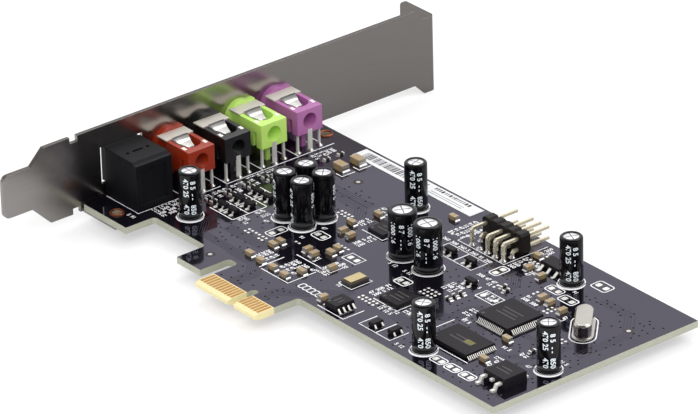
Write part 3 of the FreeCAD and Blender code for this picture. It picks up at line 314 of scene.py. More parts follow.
# Header insulator: brown-black, duller than the jacks
headerPlastic = finish("headerPlastic", {"IOR": 1.55, "Specular IOR Level": 0.2},
                       0.8, ("#120f0d", "#1c1714"), (0.38, 0.52), 0.012, edge=0.15)

# Matt black socket shell: fine spark-eroded skin scatters the light evenly
socketPlastic = finish("socketPlastic", {"IOR": 1.45, "Specular IOR Level": 0.26},
                       0.35, ("#0b0b0f", "#111116"), (0.46, 0.58), 0.006, edge=0.3)

# Shrunk film on the capacitors: deep black with hard clean highlights
sleeveFilm = finish("sleeveFilm", {"IOR": 1.5, "Specular IOR Level": 0.4},
                    6.0, ("#070709", "#0d0c10"), (0.12, 0.18), 0.004, (1, 1, 0.4))

# Drawn aluminium ends: pale and satin
canAluminium = finish("canAluminium", {"Metallic": 0.75}, 0.5, ("#f4f3f7", "#e4e3e8"), (0.3, 0.42), 0.003)

# Pressed score lines: the grey of their shadow
scoreGrey = finish("scoreGrey", {"Metallic": 0.6}, 0.4, ("#4a4a4e", "#68686c"), (0.4, 0.5), 0.002)

# Printing on the film: cool white, matt
printWhite = finish("filmPrint", {"IOR": 1.45}, 0.4, ("#dbe6ec", "#eef4f7"), (0.5, 0.6), 0.002)

# Screen-printed ink on the board: the whitest thing on it, matt
boardInk = finish("boardInk", {"IOR": 1.45}, 0.3, ("#efeef2", "#fcfcfd"), (0.5, 0.62), 0.002)

# Moulded chip resin: grey bloom when seen low, from fine filler
chipResin = finish("chipResin", {"IOR": 1.5, "Specular IOR Level": 0.11},
                   0.25, ("#19161a", "#211e22"), (0.24, 0.32), 0.002, edge=0.08)

# Laser etch on the chips: only a little paler than the resin
etchGrey = finish("etchGrey", {"IOR": 1.5}, 0.2, ("#343234", "#434143"), (0.45, 0.55), 0.001)

# Straw-coloured stamp ink: dull, darker than paper
patchInk = finish("strawInk", {"IOR": 1.5, "Specular IOR Level": 0.1}, 0.3, ("#5d593f", "#857f57"), (0.5, 0.6), 0.001)

# Crystal can: warm satin nickel with a soft rolled edge
crystalNickel = finish("crystalNickel", {"Metallic": 1.0}, 1.5, ("#d2cec7", "#c8c4bd"), (0.14, 0.18), 0.0001, edge=0.35)

# Fired dielectric: tan, with worn-round edges
tanCeramic = finish("tanCeramic", {"IOR": 1.6}, 0.3, ("#957a55", "#ad956e"), (0.32, 0.42), 0.004, edge=0.12)

# Glaze over the film of a resistor: near black, with a clean shine
resistorGlaze = finish("resistorGlaze", {"IOR": 1.55}, 0.3, ("#141316", "#1d1c20"), (0.22, 0.30), 0.003)

# Oscillator: dark ceramic tray with a gold-flashed lid
oscillatorCeramic = finish("oscillatorCeramic", {"IOR": 1.7}, 0.4, ("#2b2724", "#38322e"), (0.45, 0.55), 0.004)
lidGold = finish("lidGold", {"Metallic": 1.0}, 0.5, ("#dccda2", "#c2ad7c"), (0.26, 0.34), 0.002)

# Clear-black resin round the light source: deep red-brown where light gets in
emitterResin = finish("emitterResin", {"IOR": 1.55}, 0.8, ("#1b0c0c", "#2a1413"), (0.12, 0.2), 0.002)

# Coated label paper, and the grey of its generic bars
labelPaper = finish("labelPaper", {"IOR": 1.4}, 0.3, ("#d9dadc", "#e7e7e9"), (0.5, 0.65), 0.004)
labelInk = finish("labelInk", {"IOR": 1.4}, 0.3, ("#2f2f34", "#45454a"), (0.5, 0.6), 0.001)

# Eyelet copper: pink where it was rolled, browned elsewhere
barrelCopper = finish("brownedCopper", {"Metallic": 0.75}, 0.4, ("#a8654c", "#7f4935"), (0.2, 0.35), 0.004)

# Laminate bared round a fiducial: dull brown
bareLaminate = finish("bareLaminate", {"IOR": 1.5, "Specular IOR Level": 0.2},
                      0.4, ("#3a2c22", "#57442f"), (0.5, 0.6), 0.002)

# Solder: bright, with a frozen ripple
solder = finish("solder", {"Metallic": 1.0}, 0.3, ("#e9e8e6", "#cfcecc"), (0.16, 0.26), 0.006)
print("materials made")

capacitorNodes = [f"capacitor_{n:02d}" for n in range(1, 12)]
finishes = {
    "pcb": solderMask, "edge_contacts": gold, "bracket_eyelets": barrelCopper, "label": labelPaper,
    "optical_housing": socketPlastic, "optical_emitter": emitterResin, "optical_leads": tin, "capacitor_leads": tin,
    "header_block": headerPlastic, "header_pins": paleGold, "crystal_can": crystalNickel, "crystal_leads": tin,
    "transistors": chipResin, "oscillator_base": oscillatorCeramic, "oscillator_lid": lidGold,
    "chip_capacitors": tanCeramic, "chip_resistors": resistorGlaze,
    **{f"jack_{dye}_body": plastic for dye, plastic in plastics.items()},
    **{name: sleeveFilm for name in capacitorNodes},
}
for ending, surface in (
    ("_plate", bracketSteel), ("_flange", bracketSteel), ("_lugs", bracketSteel), ("_body", chipResin),
    ("_chip", chipResin), ("_leads", mattTin), ("_pins", mattTin), ("_spring", springSteel),
):
    for name in cad:
        if name.endswith(ending):
            finishes.setdefault(name, surface)  # the names above keep theirs
for name, surface in finishes.items():
    cad[name].data.materials.clear()
    cad[name].data.materials.append(surface)
print("construction finished with", len(finishes), "surfaces")


def newTree(name, **sockets):
    tree = bpy.data.node_groups.new(name, "GeometryNodeTree")
    tree.interface.new_socket("Geometry", in_out="INPUT", socket_type="NodeSocketGeometry")
    tree.interface.new_socket("Geometry", in_out="OUTPUT", socket_type="NodeSocketGeometry")
    for socket, kind in sockets.items():
        tree.interface.new_socket(socket, in_out="INPUT", socket_type="NodeSocket" + kind)
    given = addNode(tree, "NodeGroupInput").outputs
    return tree, given


def closeTree(tree, geometry, material):
    real = addNode(tree, "GeometryNodeRealizeInstances", {"Geometry": geometry})
    painted = addNode(tree, "GeometryNodeSetMaterial", {"Geometry": real, "Material": material})
    addNode(tree, "NodeGroupOutput", {0: painted})


def grow(name, mesh, tree, values, faceUp=False):
    seed = bpy.data.objects.new(name + "Seed", mesh)
    scene.collection.objects.link(seed)
    modifier = seed.modifiers.new("grow", "NODES")
    modifier.node_group = tree
    for item in tree.interface.items_tree:
        if item.in_out == "INPUT" and item.name in values:
            modifier[item.identifier] = values[item.name]
    ready = seed.evaluated_get(bpy.context.evaluated_depsgraph_get())
    plain = bpy.data.meshes.new_from_object(ready)
    seed.modifiers.remove(modifier)
    bpy.data.objects.remove(seed)
    return addPiece(name, plain, faceUp)


def addPiece(name, mesh, faceUp=False):
    mesh.name = name
    if faceUp:
        work = bmesh.new()
        work.from_mesh(mesh)
        bmesh.ops.reverse_faces(work, faces=[f for f in work.faces if f.normal.z < 0])
        work.to_mesh(mesh)
        work.free()
    piece = bpy.data.objects.new(name, mesh)
    scene.collection.objects.link(piece)
    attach(piece, "root")
    print("piece", name, len(mesh.polygons))
    return piece


# Sets a shape on every point, turned and stretched by the point's own values
scatterTree, given = newTree("setOnPoints", Shape="Object", Material="Material")
shape = addNode(scatterTree, "GeometryNodeObjectInfo", {"Object": given["Shape"]})
turn, stretch = [addNode(scatterTree, "GeometryNodeInputNamedAttribute", {"Name": name}, data_type="FLOAT_VECTOR")
                 for name in ("turn", "stretch")]
turned = addNode(scatterTree, "FunctionNodeEulerToRotation", {0: turn})
copies = addNode(scatterTree, "GeometryNodeInstanceOnPoints", {
    "Points": given["Geometry"], "Instance": shape.outputs["Geometry"], "Rotation": turned, "Scale": stretch})
closeTree(scatterTree, copies, given["Material"])

# Lays a flat ribbon along every line
lineTree, given = newTree("ribbonAlongLines", Width="Float", Material="Material")
curves = addNode(lineTree, "GeometryNodeMeshToCurve", {"Mesh": given["Geometry"]})
level = addNode(lineTree, "GeometryNodeSetCurveNormal", {0: curves}, mode="Z_UP")
first, last = [addNode(lineTree, "ShaderNodeCombineXYZ", {"X": calc(lineTree, "MULTIPLY", given["Width"], side)})
               for side in (-0.5, 0.5)]
profile = addNode(lineTree, "GeometryNodeCurvePrimitiveLine", {"Start": first, "End": last})
ribbon = addNode(lineTree, "GeometryNodeCurveToMesh", {"Curve": level, "Profile Curve": profile})
closeTree(lineTree, ribbon, given["Material"])

# Strews flat dots over sheets, never closer than the spacing
dotTree, given = newTree(
    "dotsOverSheets", Spacing="Float", Density="Float", Radius="Float", Seed="Int", Material="Material")
strewn = addNode(dotTree, "GeometryNodeDistributePointsOnFaces", {
    "Mesh": given["Geometry"], "Distance Min": given["Spacing"], "Density Max": given["Density"],
    "Seed": given["Seed"]}, distribute_method="POISSON")
dot = addNode(dotTree, "GeometryNodeMeshCircle", {"Vertices": 10, "Radius": given["Radius"]}, fill_type="NGON")
copies = addNode(dotTree, "GeometryNodeInstanceOnPoints", {"Points": strewn, "Instance": dot})
closeTree(dotTree, copies, given["Material"])


def scatter(name, shapeMesh, spots, material, faceUp=False):
    template = bpy.data.objects.new(name + "Shape", shapeMesh)
    scene.collection.objects.link(template)
    mesh = bpy.data.meshes.new(name + "Points")
    mesh.from_pydata([[c * mm for c in s[:3]] for s in spots], [], [])
    turns = mesh.attributes.new("turn", "FLOAT_VECTOR", "POINT")
    sizes = mesh.attributes.new("stretch", "FLOAT_VECTOR", "POINT")
    for n, spot in enumerate(spots):
        turns.data[n].vector = (0, 0, radians(spot[3]))
        sizes.data[n].vector = spot[4]
    piece = grow(name, mesh, scatterTree, {"Shape": template, "Material": material}, faceUp)
    bpy.data.objects.remove(template)
    return piece


def drawLines(name, lines, z, width, material):
    points = []
    edges = []
    for line in lines:
        start = len(points)
        points += [(x * mm, y * mm, z * mm) for x, y in line]
        edges += [(n, n + 1) for n in range(start, len(points) - 1)]
    mesh = bpy.data.meshes.new(name + "Paths")
    mesh.from_pydata(points, edges, [])
    return grow(name, mesh, lineTree, {"Width": width * mm, "Material": material}, True)


def lathe(profile, sides):
    mesh = bpy.data.meshes.new("shape")
    points = []
    for r, z in profile:
        points += [(r * mm * cos(tau * n / sides), r * mm * sin(tau * n / sides), z * mm)
                   for n in range(sides)]
    faces = []
    for row in range(len(profile) - 1):
        for n in range(sides):
            m = (n + 1) % sides
            faces.append((row * sides + n, row * sides + m, (row + 1) * sides + m, (row + 1) * sides + n))
    mesh.from_pydata(points, [], faces)
    for polygon in mesh.polygons:
        polygon.use_smooth = True
    return mesh


def weld(mesh, outward=True):
    work = bmesh.new()
    work.from_mesh(mesh)
    bmesh.ops.remove_doubles(work, verts=work.verts[:], dist=0.001 * mm)
    if outward:
        bmesh.ops.recalc_face_normals(work, faces=work.faces[:])
    work.to_mesh(mesh)
    work.free()
    return mesh


def block(size, bevel=0.0):
    work = bmesh.new()
    bmesh.ops.create_cube(work, size=1.0)
    for vertex in work.verts:
        vertex.co = Vector((vertex.co.x * size[0], vertex.co.y * size[1], (vertex.co.z + 0.5) * size[2])) * mm
    if bevel:
        bmesh.ops.bevel(work, geom=work.edges[:], offset=bevel * mm, segments=1, affect="EDGES")
    mesh = bpy.data.meshes.new("shape")
    work.to_mesh(mesh)
    work.free()
    return mesh


def digitsMesh(text, height, bold=0.0):
    curve = bpy.data.curves.new("digits", "FONT")
    curve.body = text
    curve.size = height * 1.37 * mm      # so that a figure is this tall
    curve.align_x = "CENTER"
    curve.align_y = "CENTER"
    curve.resolution_u = 2
    curve.offset = bold * mm
    holder = bpy.data.objects.new("digits", curve)
    scene.collection.objects.link(holder)
    mesh = bpy.data.meshes.new_from_object(holder.evaluated_get(bpy.context.evaluated_depsgraph_get()))
    bpy.data.objects.remove(holder)
    return mesh


def ring(x, y, radius, count=32, start=0.0, end=360.0):
    angles = [radians(start + (end - start) * n / count) for n in range(count + 1)]
    return [(x + radius * cos(a), y + radius * sin(a)) for a in angles]


def rectangle(x0, y0, x1, y1):
    return [(x0, y0), (x1, y0), (x1, y1), (x0, y1), (x0, y0)]


def disc(radius, count, z=0.0):
    return [(radius * cos(tau * n / count), radius * sin(tau * n / count), z) for n in range(count)]


def roundedBox(x0, y0, x1, y1, r):
    line = []
    for x, y, start in ((x1 - r, y1 - r, 0), (x0 + r, y1 - r, 90), (x0 + r, y0 + r, 180), (x1 - r, y0 + r, 270)):
        line += ring(x, y, r, 4, start, start + 90)
    return line + line[:1]


def spotsAt(points, z=0.0, turn=0.0):
    return [(x, y, z, turn, (1, 1, 1)) for x, y in points]


def boxIn(node):
    return [[c / mm for c in corner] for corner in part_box(node)]


unitSquare = [quad(-0.5, -0.5, 0.5, 0.5)]
jackYs = [27.1 + 9.95 * n for n in range(4)]

# Electrolytic capacitors: shrunk film with a rolled shoulder, pressed aluminium end, two columns of plain figures
cans = {
    "height": 11.0, "smallR": 2.5, "shoulder": 0.55, "lipR": 0.68, "sink": 0.22, "sides": 48, "endSides": 32,
    "small": ((-36.9, 17.9), (-7.7, 56.7), (42.8, 17.0), (66.2, 30.5), (40.7, 58.8),
              (-23.05, 32.95), (-23.05, 38.85), (-17.15, 32.95), (-17.15, 38.85)),
    "large": ((7.75, 40.3), (16.05, 40.3)), "largeR": 3.15,
    "figure": 1.15, "bold": 0.035, "lift": 0.03, "facing": -38.6,  # figures turned to the front corner of the card
    "score": 1.4, "scoreHalf": 0.09, "scoreLift": 0.085, "scoreTurn": 17.0,
    "smallPitch": 2.0, "largePitch": 2.5,                          # of the leads
}
canSpots = [(x, y, cans[size + "R"]) for size in ("small", "large") for x, y in cans[size]]
canPoints = [(x, y, 0.0, 0.0, (r / cans["smallR"], r / cans["smallR"], 1.0)) for x, y, r in canSpots]
wallR = cans["smallR"]
lipR = wallR * cans["lipR"]
shoulder = cans["shoulder"]
top = cans["height"]
bend = [radians(90 * n / 6) for n in range(7)]
filmProfile = [(wallR - 0.35, 0.0), (wallR - 0.08, 0.04), (wallR, 0.16)]
filmProfile += [(wallR - shoulder + shoulder * cos(a), top - shoulder + shoulder * sin(a)) for a in bend]
filmProfile += [(lipR + 0.04, top - 0.02), (lipR, top - 0.08), (lipR, top - cans["sink"] - 0.1)]
sleeves = scatter("capacitorSleeves", lathe(filmProfile, cans["sides"]), canPoints, sleeveFilm)
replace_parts(sleeves, *capacitorNodes)
endZ = top - cans["sink"]
endProfile = [(lipR + 0.02, endZ - 0.04), (lipR - 0.12, endZ), (lipR * 0.55, endZ + 0.05), (0.001, endZ + 0.07)]
scatter("capacitorEnds", lathe(endProfile, cans["endSides"]), canPoints, canAluminium)
reach, thin = cans["score"], cans["scoreHalf"]
score = [quad(*bar, endZ + cans["scoreLift"]) for bar in (
    (-reach, -thin, reach, thin), (-thin, thin, thin, reach), (-thin, -reach, thin, -thin))]
scoreTurns = [(x, y, z, cans["scoreTurn"] * n, s) for n, (x, y, z, t, s) in enumerate(canPoints)]
scatter("capacitorScores", sheetMesh(score), scoreTurns, scoreGrey, True)


def wrapFigures(texts, radius):
    work = bmesh.new()
    around = (radius + cans["lift"]) * mm
    for text, middleZ, turn in texts:
        flat = digitsMesh(text, cans["figure"], cans["bold"])
        for vertex in flat.vertices:
            angle = radians(turn) + vertex.co.y / around
            vertex.co = (around * cos(angle), around * sin(angle), middleZ * mm - vertex.co.x)
        work.from_mesh(flat)
    mesh = bpy.data.meshes.new("figures")
    work.to_mesh(mesh)
    work.free()
    return mesh


smallTexts = (("470 25", 7.7, -19.0), ("470", 2.6, -19.0), ("8 5", 8.3, 17.0), ("- -", 5.6, 17.0), ("850", 2.5, 17.0))
largeTexts = (("1000 16", 6.6, -42.0), ("8 7", 7.6, -6.0), ("- - -", 4.0, -6.0), ("1000 16", 6.2, 28.0))
groupTexts = (("470 25", 7.3, -66.0), ("470", 2.4, -66.0), ("850 5", 6.4, 66.0))
for name, texts, radius, spots in (
    ("smallCapacitorFigures", smallTexts, cans["smallR"], cans["small"][:5]),
    ("groupCapacitorFigures", groupTexts, cans["smallR"], cans["small"][5:]),  # the four together show a plain side
    ("largeCapacitorFigures", largeTexts, cans["largeR"], cans["large"]),
):
    scatter(name, wrapFigures(texts, radius), spotsAt(spots, turn=cans["facing"]), printWhite)
print("capacitors dressed")

# Where the two-ended chips stand: x, y and turn. A size is length, width, height and plated end
chips = {"medium": (2.0, 1.25, 1.0, 0.45), "large": (3.2, 2.0, 1.5, 0.6), "small": (1.6, 0.8, 0.5, 0.35),
         "wrap": 0.03, "lift": 0.01, "bevel": 0.06, "room": 0.3, "toeGap": 0.02, "toe": (0.36, 1.05, 0.55)}
mediumSpots = (
    (-13.8, 16.0, 0), (-9.7, 15.7, 0), (-5.5, 15.7, 0), (-1.2, 15.4, 0), (0.0, 19.1, 0), (-13.7, 22.2, 0),
    (-13.8, 24.3, 0), (-7.1, 26.3, 90), (-4.6, 26.0, 90), (-2.7, 29.1, 0), (-3.2, 31.4, 0), (2.8, 25.0, 90),
    (12.1, 15.1, 90), (-10.6, 41.2, 0), (-9.0, 37.4, 90), (-6.2, 37.2, 90), (-9.7, 47.9, 0), (2.1, 59.0, 0),
    (27.6, 60.8, 0), (30.3, 55.9, 90), (35.1, 55.2, 90), (42.4, 49.2, 90), (45.1, 49.0, 90), (49.6, 48.4, 90),
    (51.4, 32.0, 0), (54.8, 22.9, 0),
)
largeSpots = ((-32.7, 56.0, 0), (-32.5, 60.6, 0))
smallSpots = [(x, y, 90) for y in (41.0, 35.8, 30.6, 25.4) for x in (-40.4, -38.6)]
smallSpots += [
    (-38.2, 60.3, 90), (-38.2, 56.4, 90), (29.6, 34.6, 0), (29.6, 36.4, 0), (29.6, 38.2, 0), (33.0, 46.6, 90),
    (34.8, 45.8, 90), (58.6, 32.6, 90),
]
chipKinds = ((mediumSpots, chips["medium"]), (largeSpots, chips["large"]), (smallSpots, chips["small"]))

# White ink on the board: a ring with a thick polarity half about each capacitor, outlines and plain figures
inkSet = {"z": 0.03, "line": 0.26, "smallHalf": 1.1, "largeHalf": 0.75, "gap": 0.12, "ringGap": 0.35, "polarity": -50.0,
          "halfSpan": 88, "corner": 0.7}
halfAngles = [radians(inkSet["halfSpan"] * (n / 10 - 1)) for n in range(21)]
for size in ("small", "large"):
    inner = cans[size + "R"] + inkSet["gap"]
    crescent = []
    for a, b in zip(halfAngles, halfAngles[1:]):
        outerA, outerB = [inner + inkSet[size + "Half"] * cos(t) ** 0.5 for t in (a, b)]
        crescent.append([(r * cos(t), r * sin(t), inkSet["z"]) for r, t in
                         ((inner, a), (outerA, a), (outerB, b), (inner, b))])
    scatter(size + "PolarityMarks", sheetMesh(crescent), spotsAt(cans[size], turn=inkSet["polarity"]),
            boardInk, True)

outlines = [ring(x, y, r + inkSet["ringGap"]) for x, y, r in canSpots]
lines = (
    (-43.6, 62.8, -43.6, 32.8), (-43.6, 31.2, -43.6, 26.2), (-45.0, 21.0, -45.0, 9.9, -56.5, 9.9),
    (-31.7, 58.6, -29.6, 58.6, -29.6, 62.0), (-31.7, 53.8, -29.6, 53.8, -29.6, 57.4), (-37.5, 37.3, -34.0, 37.3),
    (-34.0, 37.6, -34.0, 23.3), (-29.2, 32.6, -29.2, 23.3), (-7.2, 41.2, -0.3, 41.2, -0.3, 43.2),
    (-8.2, 20.8, -8.2, 14.0), (-7.4, 14.0, 1.6, 14.0, 1.6, 21.6), (-7.4, 23.5, 3.9, 23.5, 3.9, 28.2),
    (25.3, 65.6, 25.3, 53.3, 10.2, 53.3, 10.2, 65.6), (16.8, 46.4, 16.8, 51.0), (37.2, 29.8, 37.2, 19.6, 53.5, 19.6),
    (26.4, 29.4, 26.4, 23.2, 18.7, 23.2), (21.8, 18.2, 21.8, 12.6, 13.3, 12.6),
    (25.4, 18.8, 25.4, 13.9, 35.4, 13.9, 35.4, 19.0), (30.8, 19.6, 30.8, 13.9), (-56.0, 22.2, -44.4, 22.2),
    (52.4, 47.0, 52.4, 45.4, 51.0, 45.4), (38.4, 32.3, 38.4, 31.6, 39.4, 31.6),
)
outlines += [pairs(line) for line in lines]
outlines += [rectangle(*box) for box in (
    (0.0, 29.8, 4.5, 32.8), (10.0, 46.4, 22.7, 51.0), (31.8, 39.8, 37.6, 43.1), (8.5, 22.1, 12.7, 27.8),
)]
for x0, x1, ys in ((-49.7, -43.6, (53.0, 43.0, 33.0)), (-49.0, -46.0, (60.8, 51.0, 41.0, 31.0)),
                   (-37.2, -29.3, (32.7, 27.7, 23.3))):
    outlines += [[(x0, y), (x1, y)] for y in ys]
padBoxes = (
    (-12.8, 31.4, -8.8, 34.2), (15.2, 31.2, 19.0, 34.0), (44.3, 60.6, 48.9, 63.8), (38.9, 52.6, 43.3, 55.1),
    (44.1, 51.6, 48.7, 54.2), (25.6, 48.6, 28.2, 52.8), (-20.0, 24.6, -17.4, 29.4), (46.6, 14.9, 50.5, 17.3),
    (51.1, 14.9, 55.0, 17.3), (55.7, 14.9, 59.6, 17.3),
)
outlines += [roundedBox(*box, inkSet["corner"]) for box in padBoxes]
chain = {"x": 3.9, "y": 14.7, "pitch": 1.42, "width": 1.3, "height": 1.8, "count": 5, "corner": 0.45}
for n in range(chain["count"]):
    x = chain["x"] + chain["pitch"] * n
    outlines.append(roundedBox(x, chain["y"], x + chain["width"], chain["y"] + chain["height"], chain["corner"]))
crystal = {"x": 58.2, "y": 46.85, "turn": -45.0, "length": 12.0, "width": 5.6, "lead": 2.44}
straight = (crystal["length"] - crystal["width"]) / 2
oval = ring(straight, 0, crystal["width"] / 2, 12, -90, 90) + ring(-straight, 0, crystal["width"] / 2, 12, 90, 270)
cosine = cos(radians(crystal["turn"]))
sine = sin(radians(crystal["turn"]))
ovalLine = [(crystal["x"] + x * cosine - y * sine, crystal["y"] + x * sine + y * cosine) for x, y in oval]
outlines.append(ovalLine + ovalLine[:1])
drawLines("boardOutlines", outlines, inkSet["z"], inkSet["line"], boardInk)

# More small three-lead parts: moulded bodies on bent leads, six of them in two rows before the jacks
smallParts = {
    "body": (2.9, 1.5, 1.0), "bevel": 0.14, "lift": 0.1, "pitch": 1.9, "leadWidth": 0.44, "sheet": 0.14,
    "path": ((-0.6, 0.5), (-0.92, 0.5), (-1.1, 0.03), (-1.6, 0.03)), "room": (1.6, 1.9),
    "spots": [(13.5, 48.7), (20.0, 48.7), (27.1, 42.8)] + [(x, y) for x in (-35.65, -32.1) for y in (25.8, 30.2, 35.3)],
}
half = smallParts["leadWidth"] / 2
sheet = smallParts["sheet"]
path = smallParts["path"]
leadFaces = []
for (ya, za), (yb, zb) in zip(path, path[1:]):
    leadFaces += [[(x, ya, za), (x, yb, zb), (x, yb, zb + sheet), (x, ya, za + sheet)] for x in (-half, half)]
    for rise in (0, sheet):
        leadFaces.append([(-half, ya, za + rise), (half, ya, za + rise), (half, yb, zb + rise), (-half, yb, zb + rise)])
for y, z in (path[0], path[-1]):
    leadFaces.append([(-half, y, z), (half, y, z), (half, y, z + sheet), (-half, y, z + sheet)])
frontLeads = [(x + side * smallParts["pitch"] / 2, y) for x, y in smallParts["spots"] for side in (-1, 1)]
partLeads = []
for n, spot in enumerate(smallParts["spots"]):
    partLeads += spotsAt(frontLeads[2 * n:2 * n + 2]) + spotsAt([spot], turn=180)
scatter("smallPartBodies", block(smallParts["body"], smallParts["bevel"]),
        spotsAt(smallParts["spots"], smallParts["lift"]), chipResin)
scatter("smallPartLeads", weld(sheetMesh(leadFaces)), partLeads, mattTin)

# What stands on the board keeps print and lands off
roomX, roomY = smallParts["room"]
taken = [(x - roomX, y - roomY, x + roomX, y + roomY) for x, y in smallParts["spots"]]
for name in ("audio_chip_leads", "memory_chip_leads", "amplifier_leads", "bridge_chip", "converter_chip",
             "regulator_leads", "regulator_body", "small_regulator_leads", "crystal_can", "header_block",
             "oscillator_base", *capacitorNodes):
    low, high = boxIn(name)
    taken.append((*low[:2], *high[:2]))
for spots, (length, width, *others) in chipKinds:
    for x, y, turn in spots:
        reach = (length / 2 + chips["room"], width / 2)
        reachX, reachY = reach if turn == 0 else reach[::-1]
        taken.append((x - reachX, y - reachY, x + reachX, y + reachY))


def isFree(x, y, room):
    return not any(x0 - room < x < x1 + room and y0 - room < y < y1 + room for x0, y0, x1, y1 in taken)


# Plain figures beside the parts: each group is a box to fill, and how the figures stand
figureBoxes = (
    (-42.4, 54.6, -37.2, 61.8, 0), (-43.2, 37.4, -38.0, 44.8, 0), (-42.6, 32.4, -38.0, 36.6, 0),
    (-42.6, 27.6, -38.0, 31.6, 0), (-42.6, 23.0, -38.0, 26.8, 0), (-29.0, 28.6, -25.0, 31.8, 0),
    (-29.0, 23.8, -25.0, 27.2, 0), (-24.8, 27.6, -21.4, 29.2, 0), (-13.6, 28.6, -10.2, 30.2, 0),
    (-13.8, 34.8, -10.4, 36.6, 0), (-46.4, 7.4, -43.4, 9.2, 0), (-44.8, 12.8, -40.0, 20.2, 90),
    (-13.4, 16.8, -8.6, 21.4, 0), (-5.8, 17.0, 1.2, 22.0, 0), (0.2, 21.8, 4.6, 29.4, 90),
    (-11.2, 42.0, -8.2, 46.8, 90), (-3.8, 35.4, -1.2, 40.8, 90), (-12.4, 48.8, -8.2, 51.6, 0),
    (5.0, 51.2, 25.0, 53.0, 0), (5.6, 54.2, 12.4, 62.0, 0), (25.4, 61.6, 28.6, 66.0, 90), (24.6, 42.0, 31.4, 46.8, 0),
    (24.0, 36.6, 30.8, 40.4, 0), (32.2, 40.2, 37.2, 42.8, 0), (15.4, 23.8, 18.4, 30.2, 90),
    (22.2, 20.8, 28.2, 23.6, 0), (27.0, 23.6, 29.8, 30.2, 90), (35.8, 32.6, 38.4, 36.8, 90),
    (39.0, 45.8, 45.6, 48.0, 0), (50.2, 44.6, 52.6, 48.4, 90), (55.0, 21.8, 57.6, 26.8, 90),
    (57.2, 29.6, 60.0, 34.8, 90), (62.0, 27.2, 64.2, 28.6, 0), (65.0, 33.6, 67.8, 35.0, 0),
    (58.4, 50.6, 61.2, 52.0, 0), (37.0, 13.4, 40.0, 14.8, 0), (8.4, 35.2, 11.2, 36.4, 0), (13.2, 35.2, 16.0, 36.4, 0),
    (8.6, 20.8, 10.6, 22.0, 0), (44.0, 55.6, 47.2, 57.0, 0), (-49.0, 58.0, -46.0, 59.6, 0),
    (-49.0, 48.0, -46.0, 49.6, 0), (-49.0, 38.0, -46.0, 39.6, 0), (-49.0, 28.2, -46.0, 29.6, 0),
    (11.0, 46.8, 16.2, 50.6, 0), (17.4, 46.8, 22.4, 50.6, 0), (25.8, 53.4, 37.6, 58.6, 0),
    (38.0, 30.4, 41.6, 31.8, 0), (52.6, 27.6, 56.8, 31.0, 0), (-36.0, 62.4, -30.0, 63.4, 0),
    (-5.6, 23.9, -0.4, 27.4, 0),
)
figures = {"tall": 1.0, "bold": 0.03, "rowStep": 1.3, "advance": 0.78, "gap": 0.35, "room": 0.7, "seed": 11,
           "texts": ("12", "308", "5", "47", "260", "91")}
chance = random.Random(figures["seed"])
groups = {text: [] for text in figures["texts"]}
for x0, y0, x1, y1, turn in figureBoxes:
    wide, tall = (x1 - x0, y1 - y0) if turn == 0 else (y1 - y0, x1 - x0)
    for row in range(max(1, int((tall + 0.5) / figures["rowStep"]))):
        along = 0.0
        while True:
            text = chance.choice(sorted(groups))
            reach = figures["advance"] * len(text) * figures["tall"]
            if along + reach > wide:
                break
            u = along + reach / 2
            v = figures["rowStep"] * (row + 0.5)
            x, y = (x0 + u, y0 + v) if turn == 0 else (x1 - v, y0 + u)
            if isFree(x, y, figures["room"]):
                groups[text] += spotsAt([(x, y)], inkSet["z"], turn)
            along += reach + figures["gap"]
for text, spots in groups.items():
    scatter("figures" + text, digitsMesh(text, figures["tall"], figures["bold"]), spots, boardInk, True)

# Bare tinned lands of parts that are not fitted, most in short rows of pairs
rows = {"land": (0.62, 0.58), "apart": 1.1, "pitch": (2.35, 1.15), "kept": 0.8, "seed": 23, "room": 1.0, "z": 0.02,
        "padLand": (1.25, 1.35), "leadLand": (0.8, 0.9), "leadOut": 1.45}
rowBoxes = (
    (20.0, 31.8, 27.6, 35.6, 0), (31.0, 44.6, 37.2, 47.8, 90), (15.8, 20.6, 22.4, 23.4, 90),
    (-17.4, 41.8, -12.6, 45.8, 90), (38.8, 48.8, 46.2, 51.6, 90), (46.0, 45.4, 49.6, 49.8, 0),
    (24.2, 39.6, 31.0, 42.2, 0), (-12.8, 26.6, -8.4, 28.8, 0), (52.4, 20.6, 56.0, 26.4, 0),
    (-6.0, 28.0, -0.4, 34.6, 0), (25.6, 58.4, 30.6, 64.0, 0), (36.0, 62.0, 38.4, 66.0, 90),
    (14.8, 31.4, 19.2, 33.8, 0), (-1.6, 52.6, 8.6, 57.0, 0), (-24.0, 21.6, -16.2, 24.0, 0),
    (55.6, 36.6, 60.2, 41.8, 90),
)
chance = random.Random(rows["seed"])
lands = []
for x0, y0, x1, y1, turn in rowBoxes:
    stepX, stepY = rows["pitch"] if turn == 0 else rows["pitch"][::-1]
    for column in range(int((x1 - x0) / stepX)):
        for row in range(int((y1 - y0) / stepY)):
            x = x0 + stepX * (column + 0.5)
            y = y0 + stepY * (row + 0.5)
            if chance.random() < rows["kept"] and isFree(x, y, rows["room"]):
                for side in (-0.5, 0.5):
                    spot = (x + side * rows["apart"], y) if turn == 0 else (x, y + side * rows["apart"])
                    lands.append((*spot, rows["z"], turn, (*rows["land"], 1)))
for x0, y0, x1, y1 in padBoxes:
    middleX = (x0 + x1) / 2
    middleY = (y0 + y1) / 2
    upright = y1 - y0 > x1 - x0
    for side in (-0.25, 0.25):
        away = max(x1 - x0, y1 - y0) * side
        spot = (middleX, middleY + away) if upright else (middleX + away, middleY)
        lands.append((*spot, rows["z"], 90 if upright else 0, (*rows["padLand"], 1)))
leadLands = [(x, y - rows["leadOut"]) for x, y in frontLeads]
leadLands += [(x, y + rows["leadOut"]) for x, y in smallParts["spots"]]
